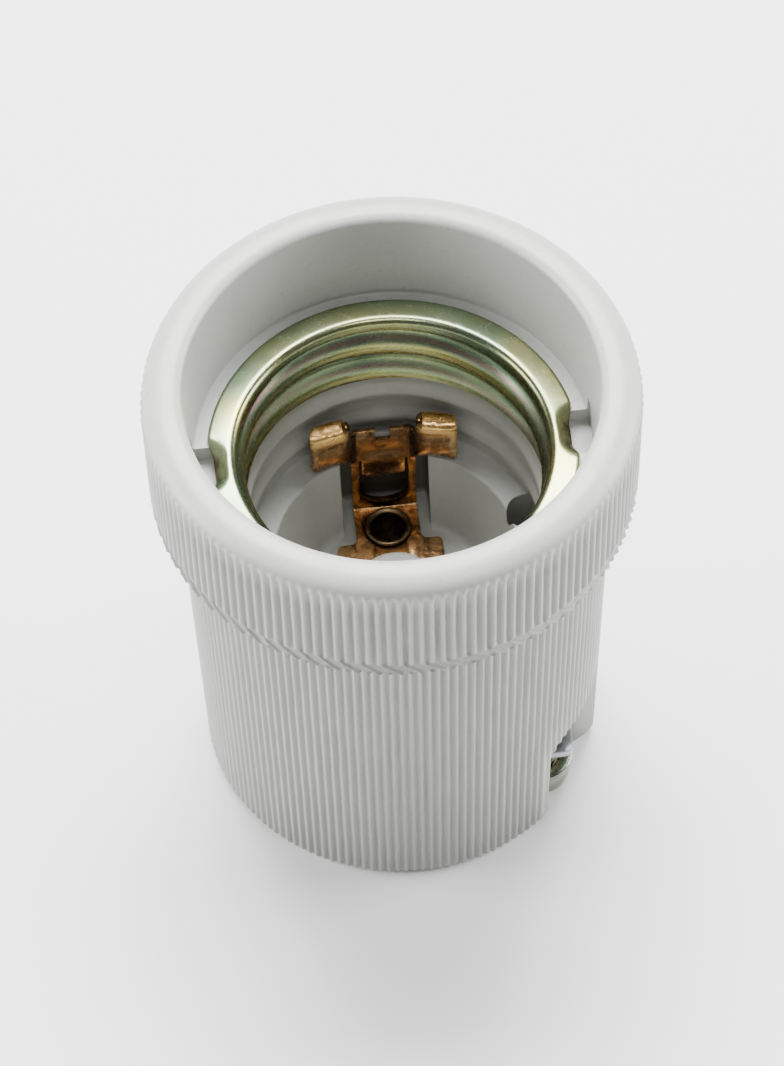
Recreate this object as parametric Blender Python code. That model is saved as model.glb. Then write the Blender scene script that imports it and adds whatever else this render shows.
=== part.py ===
# Ceramic lamp holder for an Edison screw cap: a ribbed porcelain body with a collar,
# a rolled screw shell, two copper contacts, their rivets, and two screw terminals
# in the base. Metres, +Z up, origin at the centre of the base.

import math

import bmesh
import bpy
from mathutils import Vector

# Porcelain body: heights, stacked from the base to the rim
CHAMBER_HEIGHT = 0.0115
WEB_THICKNESS = 0.0055
PIT_DEPTH = 0.0080
GUIDE_HEIGHT = 0.0081
SHELL_SEAT_DEPTH = 0.0066
MOUTH_DEPTH = 0.0093

# Porcelain body: outside
COLLAR_HEIGHT = 0.0118
COLLAR_STEP = 0.0022
BODY_TAPER = 0.00055
SHOULDER_HEIGHT = 0.0011
RIB_COUNT = 148
RIB_DEPTH = 0.00032
RIB_RUNOUT = 0.0007
BASE_ROUNDING = 0.0011
RIM_OUTER_ROUNDING = 0.0017
RIM_INNER_ROUNDING = 0.0012
RIM_FLAT = 0.0005

# Porcelain body: inside, stepping inward from the mouth to the boss
FLANGE_CLEAR = 0.00119
MOUTH_TAPER = 0.00035
GUIDE_STEP = 0.00123
GUIDE_RIDGE = 0.0003
GUIDE_RIDGE_PITCH = 0.0036
GUIDE_RIDGE_HALF = 0.00126
LEDGE_WIDTH = 0.0024
PIT_TAPER = 0.0014
BOSS_CLEAR = 0.00175
BOSS_HEIGHT = 0.0030
BOSS_EDGE = 0.00036
SLOT_SIDE_CLEAR = 0.00105
SLOT_BACK_CLEAR = 0.0014
MOUNTING_HOLE_RADIUS = 0.00175
MOUNTING_HOLE_SETBACK = 0.0008
MOUNTING_HOLE_ANGLE = math.radians(13.6)

# Screw shell, a rolled sheet with an Edison thread
SHELL_THICKNESS = 0.00035
SHELL_MINOR_RADIUS = 0.01218
THREAD_DEPTH = 0.0011
THREAD_PITCH = 0.003629
FLANGE_WIDTH = 0.00163
STAKE_DEPTH = 0.0015
STAKE_DROP = 0.0008
STAKE_ANGLE = math.radians(20.0)
STAKE_POCKET_WIDTH = 0.0040
STAKE_POCKET_DEPTH = 0.0016
STAKE_POCKET_REACH = 0.0013

# Copper contacts
STRIP_THICKNESS = 0.0004
STRIP_WIDTH = 0.0056
STRIP_BEND_RADIUS = 0.0004
STRIP_CORNER = 0.0005
STEM_CLEAR = 0.0026
STEM_TOP_ABOVE_LEDGE = 0.0040
STEM_NOTCH_WIDTH = 0.0013
STEM_NOTCH_DEPTH = 0.0014
PAD_WIDTH = 0.0035
PAD_HEIGHT = 0.0045
PAD_WRAP = 60.0
PAD_CURL = 0.0008
PAD_CURL_SHARE = 0.4
PAD_STEP = 0.0006
NECK_WIDTH = 0.0006
NECK_OVERHANG = 0.0001
WINDOW_WIDTH = 0.0044
WINDOW_DROP = 0.0042
WINDOW_LENGTH = 0.0061
WINDOW_ROUNDNESS = 0.77
TONGUE_SLIT = 0.00045
TONGUE_LENGTH = 0.0021
TONGUE_SET = 0.0004
LUG_SPREAD = 0.0018
LUG_LENGTH = 0.0036
LUG_ANGLE = 40.0
HUG_END_ANGLE = 75.0
CENTRE_STRIP_WIDTH = 0.0040
CENTRE_OVERHANG = 0.0014
CENTRE_RISE = 0.0012
FOOT_MARGIN = 0.0003

# Hollow rivets
RIVET_BORE_RADIUS = 0.00150
RIVET_WALL = 0.0003
RIVET_FLANGE_RADIUS = 0.00215
RIVET_FLANGE_THICKNESS = 0.00035

# Terminals: channels in the base, plates, clamp washers and screws
CHANNEL_MARGIN = 0.00075
CHANNEL_END = 0.0038
CHANNEL_ROUNDING = 0.0018
CHANNEL_FOOT_ROUNDING = 0.0020
MOUTH_STEP = 0.0010
WIRE_ROOM = 0.0014
SPLAY_MARGIN = 0.0005
SPLAY_ANGLE = math.radians(30.0)
PLATE_THICKNESS = 0.0008
PLATE_CORNER = 0.0008
PLATE_SCREW_WIDTH = 0.0056
PLATE_JOGGLE_START = 0.0046
PLATE_JOGGLE_RUN = 0.0031
PLATE_JOGGLE_ANGLE = math.radians(45.0)
PLATE_END_MARGIN = 0.0026
TERMINAL_SETBACK = 0.00605
SCREW_RADIUS = 0.0015
SCREW_LENGTH = 0.0067
SCREW_TIP_CHAMFER = 0.00045
SCREW_HEAD_RADIUS = 0.0026
SCREW_HEAD_HEIGHT = 0.0022
SCREW_HEAD_CLEAR = 0.0012
SCREW_HEAD_EDGE = 0.00044
SCREW_SLOT_WIDTH = 0.0007
SCREW_SLOT_DEPTH = 0.0011
SCREW_TRAVEL = 0.0030
WASHER_RADIUS = 0.0029
WASHER_THICKNESS = 0.0008
WASHER_EDGE = 0.00016

# Clearances between mating pieces
SEAT_GAP = 0.0003
RUNNING_GAP = 0.0003
RIVET_GAP = 0.0001
CUT_MARGIN = 0.0020

# Facets
BORE_SEGMENTS = 60
SHELL_SEGMENTS = 56
ROWS_PER_PITCH = 6
SMALL_SEGMENTS = 18
RIM_ARC_STEPS = 3
CHANNEL_ARC_STEPS = 3

# Levels that follow from the sizes above
PIT_FLOOR = CHAMBER_HEIGHT + WEB_THICKNESS
LEDGE = PIT_FLOOR + PIT_DEPTH
SHELL_SEAT = LEDGE + GUIDE_HEIGHT
FLANGE_SEAT = SHELL_SEAT + SHELL_SEAT_DEPTH
HEIGHT = FLANGE_SEAT + MOUTH_DEPTH
SCREW_HEAD_TOP = SCREW_HEAD_CLEAR + SCREW_HEAD_HEIGHT
SCREW_TIP = SCREW_HEAD_TOP + SCREW_LENGTH

# Radii that follow, outward from the screw shell
SHELL_OUTER_RADIUS = SHELL_MINOR_RADIUS + THREAD_DEPTH + SHELL_THICKNESS
SHELL_BORE_RADIUS = SHELL_OUTER_RADIUS + RUNNING_GAP
FLANGE_RADIUS = SHELL_OUTER_RADIUS + FLANGE_WIDTH
MOUTH_RADIUS = FLANGE_RADIUS + FLANGE_CLEAR + MOUTH_TAPER
COLLAR_RADIUS = MOUTH_RADIUS + RIM_INNER_ROUNDING + RIM_FLAT + RIM_OUTER_ROUNDING
BODY_TOP_RADIUS = COLLAR_RADIUS - COLLAR_STEP
BODY_BASE_RADIUS = BODY_TOP_RADIUS - BODY_TAPER

# Radii and offsets that follow, inward from the screw shell
GUIDE_RADIUS = SHELL_BORE_RADIUS - GUIDE_STEP
PIT_TOP_RADIUS = GUIDE_RADIUS - LEDGE_WIDTH
PIT_FLOOR_RADIUS = PIT_TOP_RADIUS - PIT_TAPER
MOUNTING_HOLE_CIRCLE = GUIDE_RADIUS - MOUNTING_HOLE_SETBACK
STEM_OFFSET = GUIDE_RADIUS - STEM_CLEAR
RIVET_RADIUS = RIVET_BORE_RADIUS + RIVET_WALL
RIVET_HOLE_RADIUS = RIVET_RADIUS + RIVET_GAP
RIVET_OFFSET = STEM_OFFSET - STRIP_BEND_RADIUS - 0.5 * RIVET_GAP - RIVET_FLANGE_RADIUS
BOSS_RADIUS = RIVET_OFFSET - RIVET_FLANGE_RADIUS - BOSS_CLEAR
CONTACT_SLOT_WIDTH = STRIP_WIDTH + 2.0 * SLOT_SIDE_CLEAR

# Places of the terminals, from the rivets outward
CHANNEL_INNER_WALL = RIVET_OFFSET - RIVET_FLANGE_RADIUS - CHANNEL_MARGIN
MOUTH_WALL = CHANNEL_INNER_WALL + MOUTH_STEP
TERMINAL_Y = MOUTH_WALL + RUNNING_GAP + WASHER_RADIUS
CHANNEL_OUTER_WALL = TERMINAL_Y + WASHER_RADIUS + WIRE_ROOM
TERMINAL_X = BODY_BASE_RADIUS - TERMINAL_SETBACK
SPLAY_START = TERMINAL_X + WASHER_RADIUS + SPLAY_MARGIN

PORCELAIN_COLOUR = (0.80, 0.80, 0.77)
ZINC_COLOUR = (0.62, 0.60, 0.42)
COPPER_COLOUR = (0.72, 0.38, 0.18)
BRASS_COLOUR = (0.70, 0.55, 0.28)
PLATE_COLOUR = (0.66, 0.68, 0.68)
STEEL_COLOUR = (0.45, 0.47, 0.40)


def clear_scene():
    for item in list(bpy.data.objects):
        bpy.data.objects.remove(item, do_unlink=True)


def principled(name, colour, roughness, metallic):
    material = bpy.data.materials.new(name)
    material.use_nodes = True
    shader = material.node_tree.nodes["Principled BSDF"]
    shader.inputs["Base Color"].default_value = (*colour, 1.0)
    shader.inputs["Roughness"].default_value = roughness
    shader.inputs["Metallic"].default_value = metallic
    return material


def object_from_bmesh(name, mesh_edit, material=None, smooth_angle=30.0):
    bmesh.ops.recalc_face_normals(mesh_edit, faces=mesh_edit.faces)
    mesh = bpy.data.meshes.new(name)
    mesh_edit.to_mesh(mesh)
    mesh_edit.free()
    mesh.shade_smooth()
    mesh.set_sharp_from_angle(angle=math.radians(smooth_angle))
    item = bpy.data.objects.new(name, mesh)
    bpy.context.collection.objects.link(item)
    if material is not None:
        mesh.materials.append(material)
    return item


def polar(radius, angle):
    return radius * math.cos(angle), radius * math.sin(angle)


def arc_points(centre, radius, start, end, steps):
    """Points of an arc in a plane, both ends included, angles in degrees."""
    points = []
    for step in range(steps + 1):
        angle = math.radians(start + (end - start) * step / steps)
        points.append((centre[0] + radius * math.cos(angle), centre[1] + radius * math.sin(angle)))
    return points


def lofted(name, rings, material=None):
    """A closed solid through rings of equal point counts, with a flat cap at each end."""
    edit = bmesh.new()
    loops = [[edit.verts.new(point) for point in ring] for ring in rings]
    count = len(rings[0])
    for lower, upper in zip(loops, loops[1:]):
        for index in range(count):
            following = (index + 1) % count
            edit.faces.new((lower[index], lower[following], upper[following], upper[index]))
    edit.faces.new(loops[0])
    edit.faces.new(loops[-1])
    return object_from_bmesh(name, edit, material)


def turned(name, profile, segments, material=None):
    """A solid of revolution; the profile runs from axis to axis, or is a closed ring section."""
    edit = bmesh.new()
    closed = profile[0][0] > 0.0
    columns = []
    on_axis = {}
    for index in range(segments):
        angle = 2.0 * math.pi * index / segments
        column = []
        for place, (radius, height) in enumerate(profile):
            if radius == 0.0:
                if place not in on_axis:
                    on_axis[place] = edit.verts.new((0.0, 0.0, height))
                column.append(on_axis[place])
            else:
                column.append(edit.verts.new((*polar(radius, angle), height)))
        columns.append(column)
    spans = len(profile) if closed else len(profile) - 1
    for index in range(segments):
        here = columns[index]
        there = columns[(index + 1) % segments]
        for place in range(spans):
            after = (place + 1) % len(profile)
            corners = [here[place], there[place], there[after], here[after]]
            edit.faces.new(list(dict.fromkeys(corners)))
    return object_from_bmesh(name, edit, material)


def prism(name, outline, low, high, material=None):
    """An upright prism on a plan outline."""
    rings = [[(x, y, height) for x, y in outline] for height in (low, high)]
    return lofted(name, rings, material)


def round_bar(name, radius, low, high, centre=(0.0, 0.0), segments=SMALL_SEGMENTS):
    outline = arc_points(centre, radius, 0.0, 360.0, segments)[:-1]
    return prism(name, outline, low, high)


def box_outline(low_x, low_y, high_x, high_y):
    return [(low_x, low_y), (high_x, low_y), (high_x, high_y), (low_x, high_y)]


def cut(target, cutter):
    cutter.hide_render = True
    cutter.display_type = 'WIRE'
    modifier = target.modifiers.new(cutter.name, 'BOOLEAN')
    modifier.operation = 'DIFFERENCE'
    modifier.solver = 'EXACT'
    modifier.object = cutter


class BendPath:
    """A strip's centre line in a plane, level at its start: straight runs joined by bends."""

    def __init__(self, start, steps):
        self.start = start
        self.steps = steps

    def at(self, length):
        """The point at a length along the path."""
        point = Vector(self.start)
        heading = 0.0
        left = length
        for kind, size, *more in self.steps:
            if kind == "run":
                if left <= size:
                    break
                point = point + size * Vector((math.cos(heading), math.sin(heading)))
                left -= size
            else:
                turn = more[0]
                span = size * abs(turn)
                side = math.copysign(1.0, turn)
                part = min(left, span)
                normal = Vector((-math.sin(heading), math.cos(heading))) * side
                centre = point + size * normal
                heading = heading + side * part / size
                arm = Vector((-math.sin(heading), math.cos(heading))) * side
                point = centre - size * arm
                left -= part
                if left <= 0.0:
                    break
        return point + left * Vector((math.cos(heading), math.sin(heading)))

    def bend_lengths(self, parts=3):
        """Lengths at which the strip needs an edge across it, so that its bends are round."""
        lengths = []
        total = 0.0
        for kind, size, *more in self.steps:
            if kind == "run":
                total += size
            else:
                span = size * abs(more[0])
                lengths += [total + span * part / parts for part in range(parts + 1)]
                total += span
        return lengths

    def total(self):
        return sum(size if kind == "run" else size * abs(more[0]) for kind, size, *more in self.steps)


def bent_sheet(name, outline, holes, across, along, place, thickness, material):
    """A flat blank with holes, cut along its bend lines, laid on a surface and thickened."""
    edit = bmesh.new()
    edges = []
    for loop in [outline] + holes:
        corners = [edit.verts.new((u, v, 0.0)) for u, v in loop]
        for index, corner in enumerate(corners):
            edges.append(edit.edges.new((corner, corners[(index + 1) % len(corners)])))
    bmesh.ops.triangle_fill(edit, use_beauty=True, edges=edges, normal=(0.0, 0.0, 1.0))
    cuts = [((u, 0.0, 0.0), (1.0, 0.0, 0.0)) for u in across]
    cuts += [((0.0, v, 0.0), (0.0, 1.0, 0.0)) for v in along]
    for origin, normal in cuts:
        parts = edit.verts[:] + edit.edges[:] + edit.faces[:]
        bmesh.ops.bisect_plane(edit, geom=parts, dist=1e-7, plane_co=origin, plane_no=normal)
    step = 1e-5
    solid = bmesh.new()
    layers = ([], [])
    edit.verts.index_update()
    for corner in edit.verts:
        u, v = corner.co.x, corner.co.y
        middle = Vector(place(u, v))
        slope_u = Vector(place(u + step, v)) - Vector(place(u - step, v))
        slope_v = Vector(place(u, v + step)) - Vector(place(u, v - step))
        normal = slope_u.cross(slope_v).normalized()
        for layer, side in zip(layers, (0.5, -0.5)):
            layer.append(solid.verts.new(middle + normal * thickness * side))
    for face in edit.faces:
        order = [corner.index for corner in face.verts]
        solid.faces.new([layers[0][index] for index in order])
        solid.faces.new([layers[1][index] for index in reversed(order)])
    for edge in edit.edges:
        if len(edge.link_faces) == 1:
            first, second = (corner.index for corner in edge.verts)
            solid.faces.new((layers[0][first], layers[0][second], layers[1][second], layers[1][first]))
    edit.free()
    return object_from_bmesh(name, solid, material)


def mirrored(half):
    """A closed outline from its right half, given from the middle round to the middle."""
    inner = [point for point in half if point[0] > 0.0]
    return half + [(-u, v) for u, v in reversed(inner)]


def half_turn(item, turned_round):
    item.rotation_euler = (0.0, 0.0, math.pi if turned_round else 0.0)


# Porcelain body

def ribbed_ring(radius, height, depth):
    """A ring whose points lie in turn on a rib and in the groove beside it."""
    ring = []
    for index in range(2 * RIB_COUNT):
        angle = math.pi * index / RIB_COUNT
        reach = radius - (depth if index % 2 else 0.0)
        ring.append((*polar(reach, angle), height))
    return ring


def body_blank(material):
    collar_low = HEIGHT - COLLAR_HEIGHT
    rim_low = HEIGHT - RIM_OUTER_ROUNDING
    rings = [
        ribbed_ring(BODY_BASE_RADIUS - BASE_ROUNDING, 0.0, 0.0),
        ribbed_ring(BODY_BASE_RADIUS, BASE_ROUNDING, RIB_DEPTH),
        ribbed_ring(BODY_TOP_RADIUS, collar_low - SHOULDER_HEIGHT, RIB_DEPTH),
        ribbed_ring(COLLAR_RADIUS - RIB_DEPTH, collar_low, RIB_DEPTH),
        ribbed_ring(COLLAR_RADIUS, collar_low + RIB_RUNOUT, RIB_DEPTH),
        ribbed_ring(COLLAR_RADIUS, rim_low - RIB_RUNOUT, RIB_DEPTH),
    ]
    rounding_centre = (COLLAR_RADIUS - RIM_OUTER_ROUNDING, rim_low)
    for radius, height in arc_points(rounding_centre, RIM_OUTER_ROUNDING, 0.0, 90.0, RIM_ARC_STEPS):
        rings.append(ribbed_ring(radius, height, 0.0))
    return lofted("porcelain_body", rings, material)


def socket_profile():
    """The hollow seen from above: mouth, shell bore, ridged guide wall, contact pit and boss."""
    mouth = arc_points((MOUTH_RADIUS + RIM_INNER_ROUNDING, HEIGHT - RIM_INNER_ROUNDING),
                       RIM_INNER_ROUNDING, 90.0, 180.0, RIM_ARC_STEPS)
    profile = [(0.0, HEIGHT + CUT_MARGIN), (mouth[0][0], HEIGHT + CUT_MARGIN)]
    profile += mouth
    profile += [
        (MOUTH_RADIUS - MOUTH_TAPER, FLANGE_SEAT),
        (SHELL_BORE_RADIUS, FLANGE_SEAT),
        (SHELL_BORE_RADIUS, SHELL_SEAT),
        (GUIDE_RADIUS, SHELL_SEAT),
    ]
    ridges = int((GUIDE_HEIGHT - 0.5 * GUIDE_RIDGE_PITCH) / GUIDE_RIDGE_PITCH)
    for ridge in range(ridges):
        crest = SHELL_SEAT - (ridge + 0.5) * GUIDE_RIDGE_PITCH
        profile.append((GUIDE_RADIUS, crest + GUIDE_RIDGE_HALF))
        profile.append((GUIDE_RADIUS - GUIDE_RIDGE, crest))
        profile.append((GUIDE_RADIUS, crest - GUIDE_RIDGE_HALF))
    profile += [
        (GUIDE_RADIUS, LEDGE),
        (PIT_TOP_RADIUS, LEDGE),
        (PIT_FLOOR_RADIUS, PIT_FLOOR),
        (BOSS_RADIUS, PIT_FLOOR),
        (BOSS_RADIUS, PIT_FLOOR + BOSS_HEIGHT - BOSS_EDGE),
        (BOSS_RADIUS - BOSS_EDGE, PIT_FLOOR + BOSS_HEIGHT),
        (0.0, PIT_FLOOR + BOSS_HEIGHT),
    ]
    return profile


def foot_reach():
    """How far from the axis the centre contact's foot ends, past its rivet's flange."""
    return RIVET_OFFSET + RIVET_FLANGE_RADIUS + FOOT_MARGIN


def channel_outline(outer_wall):
    """Plan of one terminal channel, from its closed end to its splayed mouth."""
    reach = COLLAR_RADIUS + CUT_MARGIN
    neck = TERMINAL_X - WASHER_RADIUS - RUNNING_GAP
    splay = (reach - SPLAY_START) * math.tan(SPLAY_ANGLE)
    return [
        (-CHANNEL_END, -CHANNEL_INNER_WALL),
        (-CHANNEL_END, -outer_wall + CHANNEL_ROUNDING),
        (-CHANNEL_END + CHANNEL_ROUNDING, -outer_wall),
        (reach, -outer_wall),
        (reach, -MOUTH_WALL + splay),
        (SPLAY_START, -MOUTH_WALL),
        (neck, -MOUTH_WALL),
        (neck - MOUTH_STEP, -CHANNEL_INNER_WALL),
    ]


def channel_cutter(name, turned_round):
    """The channel, its outer wall rounded outward at the foot and inward under the ceiling."""
    wall = CHANNEL_OUTER_WALL
    foot = CHANNEL_FOOT_ROUNDING
    levels = [(wall + foot, -CUT_MARGIN)]
    levels += arc_points((wall + foot, foot), foot, -90.0, -180.0, CHANNEL_ARC_STEPS)
    crown_centre = (wall - CHANNEL_ROUNDING, CHAMBER_HEIGHT - CHANNEL_ROUNDING)
    levels += arc_points(crown_centre, CHANNEL_ROUNDING, 0.0, 90.0, CHANNEL_ARC_STEPS)
    rings = [[(x, y, height) for x, y in channel_outline(outer)] for outer, height in levels]
    cutter = lofted(name, rings)
    half_turn(cutter, turned_round)
    return cutter


def make_body(material):
    body = body_blank(material)
    cut(body, turned("socket_cutter", socket_profile(), BORE_SEGMENTS))
    for side, label in enumerate(("centre", "side")):
        sign = 1.0 if side else -1.0
        slot_end = STEM_OFFSET + SLOT_BACK_CLEAR if side else foot_reach() + SEAT_GAP
        near, far = sorted((sign * RIVET_OFFSET, sign * slot_end))
        slot = prism(label + "_contact_slot_cutter", box_outline(
            -0.5 * CONTACT_SLOT_WIDTH, near, 0.5 * CONTACT_SLOT_WIDTH, far),
            PIT_FLOOR, LEDGE + CUT_MARGIN)
        cut(body, slot)
        cut(body, channel_cutter(label + "_channel_cutter", bool(side)))
        rivet_hole = round_bar(label + "_rivet_hole_cutter", RIVET_HOLE_RADIUS,
                               CHAMBER_HEIGHT - CUT_MARGIN, PIT_FLOOR + CUT_MARGIN,
                               (0.0, sign * RIVET_OFFSET))
        cut(body, rivet_hole)
        pocket_top = SCREW_TIP + SCREW_TRAVEL + 2.0 * RUNNING_GAP
        tip_pocket = round_bar(label + "_tip_pocket_cutter", SCREW_RADIUS + 2.0 * RUNNING_GAP,
                               CHAMBER_HEIGHT - CUT_MARGIN, pocket_top,
                               (-sign * TERMINAL_X, sign * TERMINAL_Y))
        cut(body, tip_pocket)
        angle = MOUNTING_HOLE_ANGLE + (math.pi if side else 0.0)
        mounting_hole = round_bar(label + "_mounting_hole_cutter", MOUNTING_HOLE_RADIUS,
                                  -CUT_MARGIN, LEDGE + CUT_MARGIN,
                                  polar(MOUNTING_HOLE_CIRCLE, angle))
        cut(body, mounting_hole)
        reach = FLANGE_RADIUS + STAKE_POCKET_REACH
        near, far = sorted((sign * SHELL_MINOR_RADIUS, sign * reach))
        pocket = prism(label + "_stake_pocket_cutter", box_outline(
            near, -0.5 * STAKE_POCKET_WIDTH, far, 0.5 * STAKE_POCKET_WIDTH),
            FLANGE_SEAT - STAKE_POCKET_DEPTH, FLANGE_SEAT + STAKE_POCKET_DEPTH)
        cut(body, pocket)
    return body


# Screw shell

def shell_radius(angle, height):
    """Inner radius of the rolled thread, a right-hand helix; 0 at its crest, deep in its groove."""
    wave = math.cos(2.0 * math.pi * height / THREAD_PITCH - angle)
    return SHELL_MINOR_RADIUS + 0.5 * THREAD_DEPTH * (1.0 - wave)


def shell_columns():
    """Angles round the shell, each with how far its flange is cut back and pressed down."""
    columns = []
    bite = 0.5 * STAKE_ANGLE
    pocket = math.asin(0.5 * STAKE_POCKET_WIDTH / FLANGE_RADIUS)
    tab = pocket - SEAT_GAP / SHELL_MINOR_RADIUS
    for index in range(SHELL_SEGMENTS):
        angle = 2.0 * math.pi * index / SHELL_SEGMENTS
        from_stake = abs((angle + 0.5 * math.pi) % math.pi - 0.5 * math.pi)
        if from_stake > bite + math.pi / SHELL_SEGMENTS:
            columns.append((angle, 0.0, 0.0))
    for stake in (0.0, math.pi):
        columns.append((stake, STAKE_DEPTH, STAKE_DROP))
        for side in (-1.0, 1.0):
            columns.append((stake + side * tab, STAKE_DEPTH, STAKE_DROP))
            columns.append((stake + side * max(pocket, 0.8 * bite), STAKE_DEPTH, 0.0))
            columns.append((stake + side * bite, 0.0, 0.0))
    return sorted((angle % (2.0 * math.pi), depth, drop) for angle, depth, drop in columns)


def make_shell(material):
    low = SHELL_SEAT + SEAT_GAP
    flange_low = FLANGE_SEAT + SEAT_GAP
    flange_high = flange_low + SHELL_THICKNESS
    rows = round(ROWS_PER_PITCH * (flange_low - low) / THREAD_PITCH)
    heights = [low + (flange_low - low) * row / rows for row in range(rows + 1)]
    roll = 0.5 * (SHELL_BORE_RADIUS - RUNNING_GAP - SHELL_MINOR_RADIUS)
    neck = SHELL_MINOR_RADIUS + roll
    edit = bmesh.new()
    columns = []
    for angle, depth, drop in shell_columns():
        edge = FLANGE_RADIUS - depth
        inner = [(shell_radius(angle, height), height) for height in heights[:-1]]
        outer = [(radius + SHELL_THICKNESS, height) for radius, height in inner]
        section = inner
        section += [(neck, flange_high - 0.3 * SHELL_THICKNESS), (neck + SHELL_THICKNESS, flange_high)]
        section += [(edge - SHELL_THICKNESS, flange_high), (edge, flange_high - 0.5 * SHELL_THICKNESS - drop)]
        section += [(edge - 0.5 * SHELL_THICKNESS, flange_low - drop), (neck + SHELL_THICKNESS, flange_low)]
        section += list(reversed(outer))
        columns.append([edit.verts.new((*polar(radius, angle), height)) for radius, height in section])
    count = len(columns[0])
    for here, there in zip(columns, columns[1:] + columns[:1]):
        for place in range(count):
            after = (place + 1) % count
            edit.faces.new((here[place], there[place], there[after], here[after]))
    return object_from_bmesh("screw_shell", edit, material, 60.0)


# Copper contacts

def strip_level():
    """Height of the middle of a strip that lies on the pit's floor."""
    return PIT_FLOOR + SEAT_GAP + 0.5 * STRIP_THICKNESS


def side_contact_path():
    bend = STRIP_BEND_RADIUS
    return BendPath((0.0, strip_level()), [
        ("run", STEM_OFFSET - bend),
        ("bend", bend, 0.5 * math.pi),
        ("run", PIT_DEPTH + STEM_TOP_ABOVE_LEDGE + PAD_HEIGHT),
    ])


def make_side_contact(material):
    """A T of spring copper: a riveted foot, an upright stem with a lanced tongue, two pads."""
    path = side_contact_path()
    bend_end = STEM_OFFSET - STRIP_BEND_RADIUS + 0.5 * math.pi * STRIP_BEND_RADIUS
    bend_top = strip_level() + STRIP_BEND_RADIUS

    def up(height):
        return bend_end + height - bend_top

    half = 0.5 * STRIP_WIDTH
    corner = STRIP_CORNER
    pad_low = up(LEDGE + 2.0 * SEAT_GAP)
    pad_high = pad_low + PAD_HEIGHT
    stem_top = up(LEDGE + STEM_TOP_ABOVE_LEDGE)
    pad_in = half + NECK_OVERHANG
    pad_out = half + PAD_WIDTH
    neck_in = pad_in - NECK_WIDTH
    notch = 0.5 * STEM_NOTCH_WIDTH
    hug = BOSS_RADIUS + SEAT_GAP
    lug_low = hug * math.sin(math.radians(LUG_ANGLE))
    lug_back = lug_low + LUG_LENGTH
    lug_reach = half + LUG_SPREAD
    half_outline = [(0.0, hug)] + arc_points((0.0, 0.0), hug, HUG_END_ANGLE, LUG_ANGLE, 3)
    half_outline += [
        (lug_reach - corner, lug_low), (lug_reach, lug_low + corner),
        (lug_reach, lug_back - corner), (lug_reach - corner, lug_back),
        (half, lug_back + corner),
        (half, pad_low + corner), (pad_in + corner, pad_low),
        (pad_out - corner, pad_low), (pad_out, pad_low + corner),
        (pad_out, pad_high - corner), (pad_out - corner, pad_high),
        (pad_in + corner, pad_high), (pad_in, pad_high - corner),
        (pad_in, stem_top), (notch, stem_top),
        (notch, stem_top - STEM_NOTCH_DEPTH), (0.0, stem_top - STEM_NOTCH_DEPTH),
    ]
    rivet_hole = arc_points((0.0, RIVET_OFFSET), RIVET_HOLE_RADIUS, 0.0, 360.0, SMALL_SEGMENTS)[:-1]
    window_top = stem_top - WINDOW_DROP
    window_half = 0.5 * WINDOW_WIDTH
    tongue_half = window_half - TONGUE_SLIT
    tongue_end = window_top - TONGUE_LENGTH
    knee = window_top - WINDOW_LENGTH + WINDOW_ROUNDNESS * window_half
    window = [(window_half, window_top)]
    for u, v in arc_points((0.0, 0.0), window_half, 0.0, -180.0, 6):
        window.append((u, knee + WINDOW_ROUNDNESS * v))
    window += [
        (-window_half, window_top), (-tongue_half, window_top),
        (-tongue_half, tongue_end + corner), (-tongue_half + corner, tongue_end),
        (tongue_half - corner, tongue_end), (tongue_half, tongue_end + corner),
        (tongue_half, window_top),
    ]
    curl_start = pad_high - PAD_CURL_SHARE * PAD_HEIGHT
    step_start = pad_low - 2.0 * PAD_STEP

    def place(u, v):
        """Pads curve round the axis, stand forward of the stem and curl back at the top."""
        y, z = path.at(v)
        outside = max(0.0, abs(u) - half)
        if v > step_start:
            y -= PAD_WRAP * outside * outside
            lift = min(1.0, (v - step_start) / (pad_low - step_start))
            neck = min(1.0, max(0.0, abs(u) - neck_in) / NECK_WIDTH)
            y -= PAD_STEP * lift * neck
            weight = min(1.0, outside / (pad_in + corner - half))
            lean = max(0.0, v - curl_start) / (pad_high - curl_start)
            y += PAD_CURL * weight * lean * lean
        if abs(u) < tongue_half + 0.5 * TONGUE_SLIT and tongue_end - corner < v < window_top:
            y += TONGUE_SET * (window_top - v) / TONGUE_LENGTH
        return u, y, z

    across = [pad_out - PAD_WIDTH / 3.0, pad_out - 2.0 * PAD_WIDTH / 3.0, pad_in, neck_in]
    across += [-u for u in across]
    along = path.bend_lengths() + [step_start, pad_low, curl_start, 0.5 * (curl_start + pad_high)]
    return bent_sheet("side_contact", mirrored(half_outline), [rivet_hole, window], across, along,
                      place, STRIP_THICKNESS, material)


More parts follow.
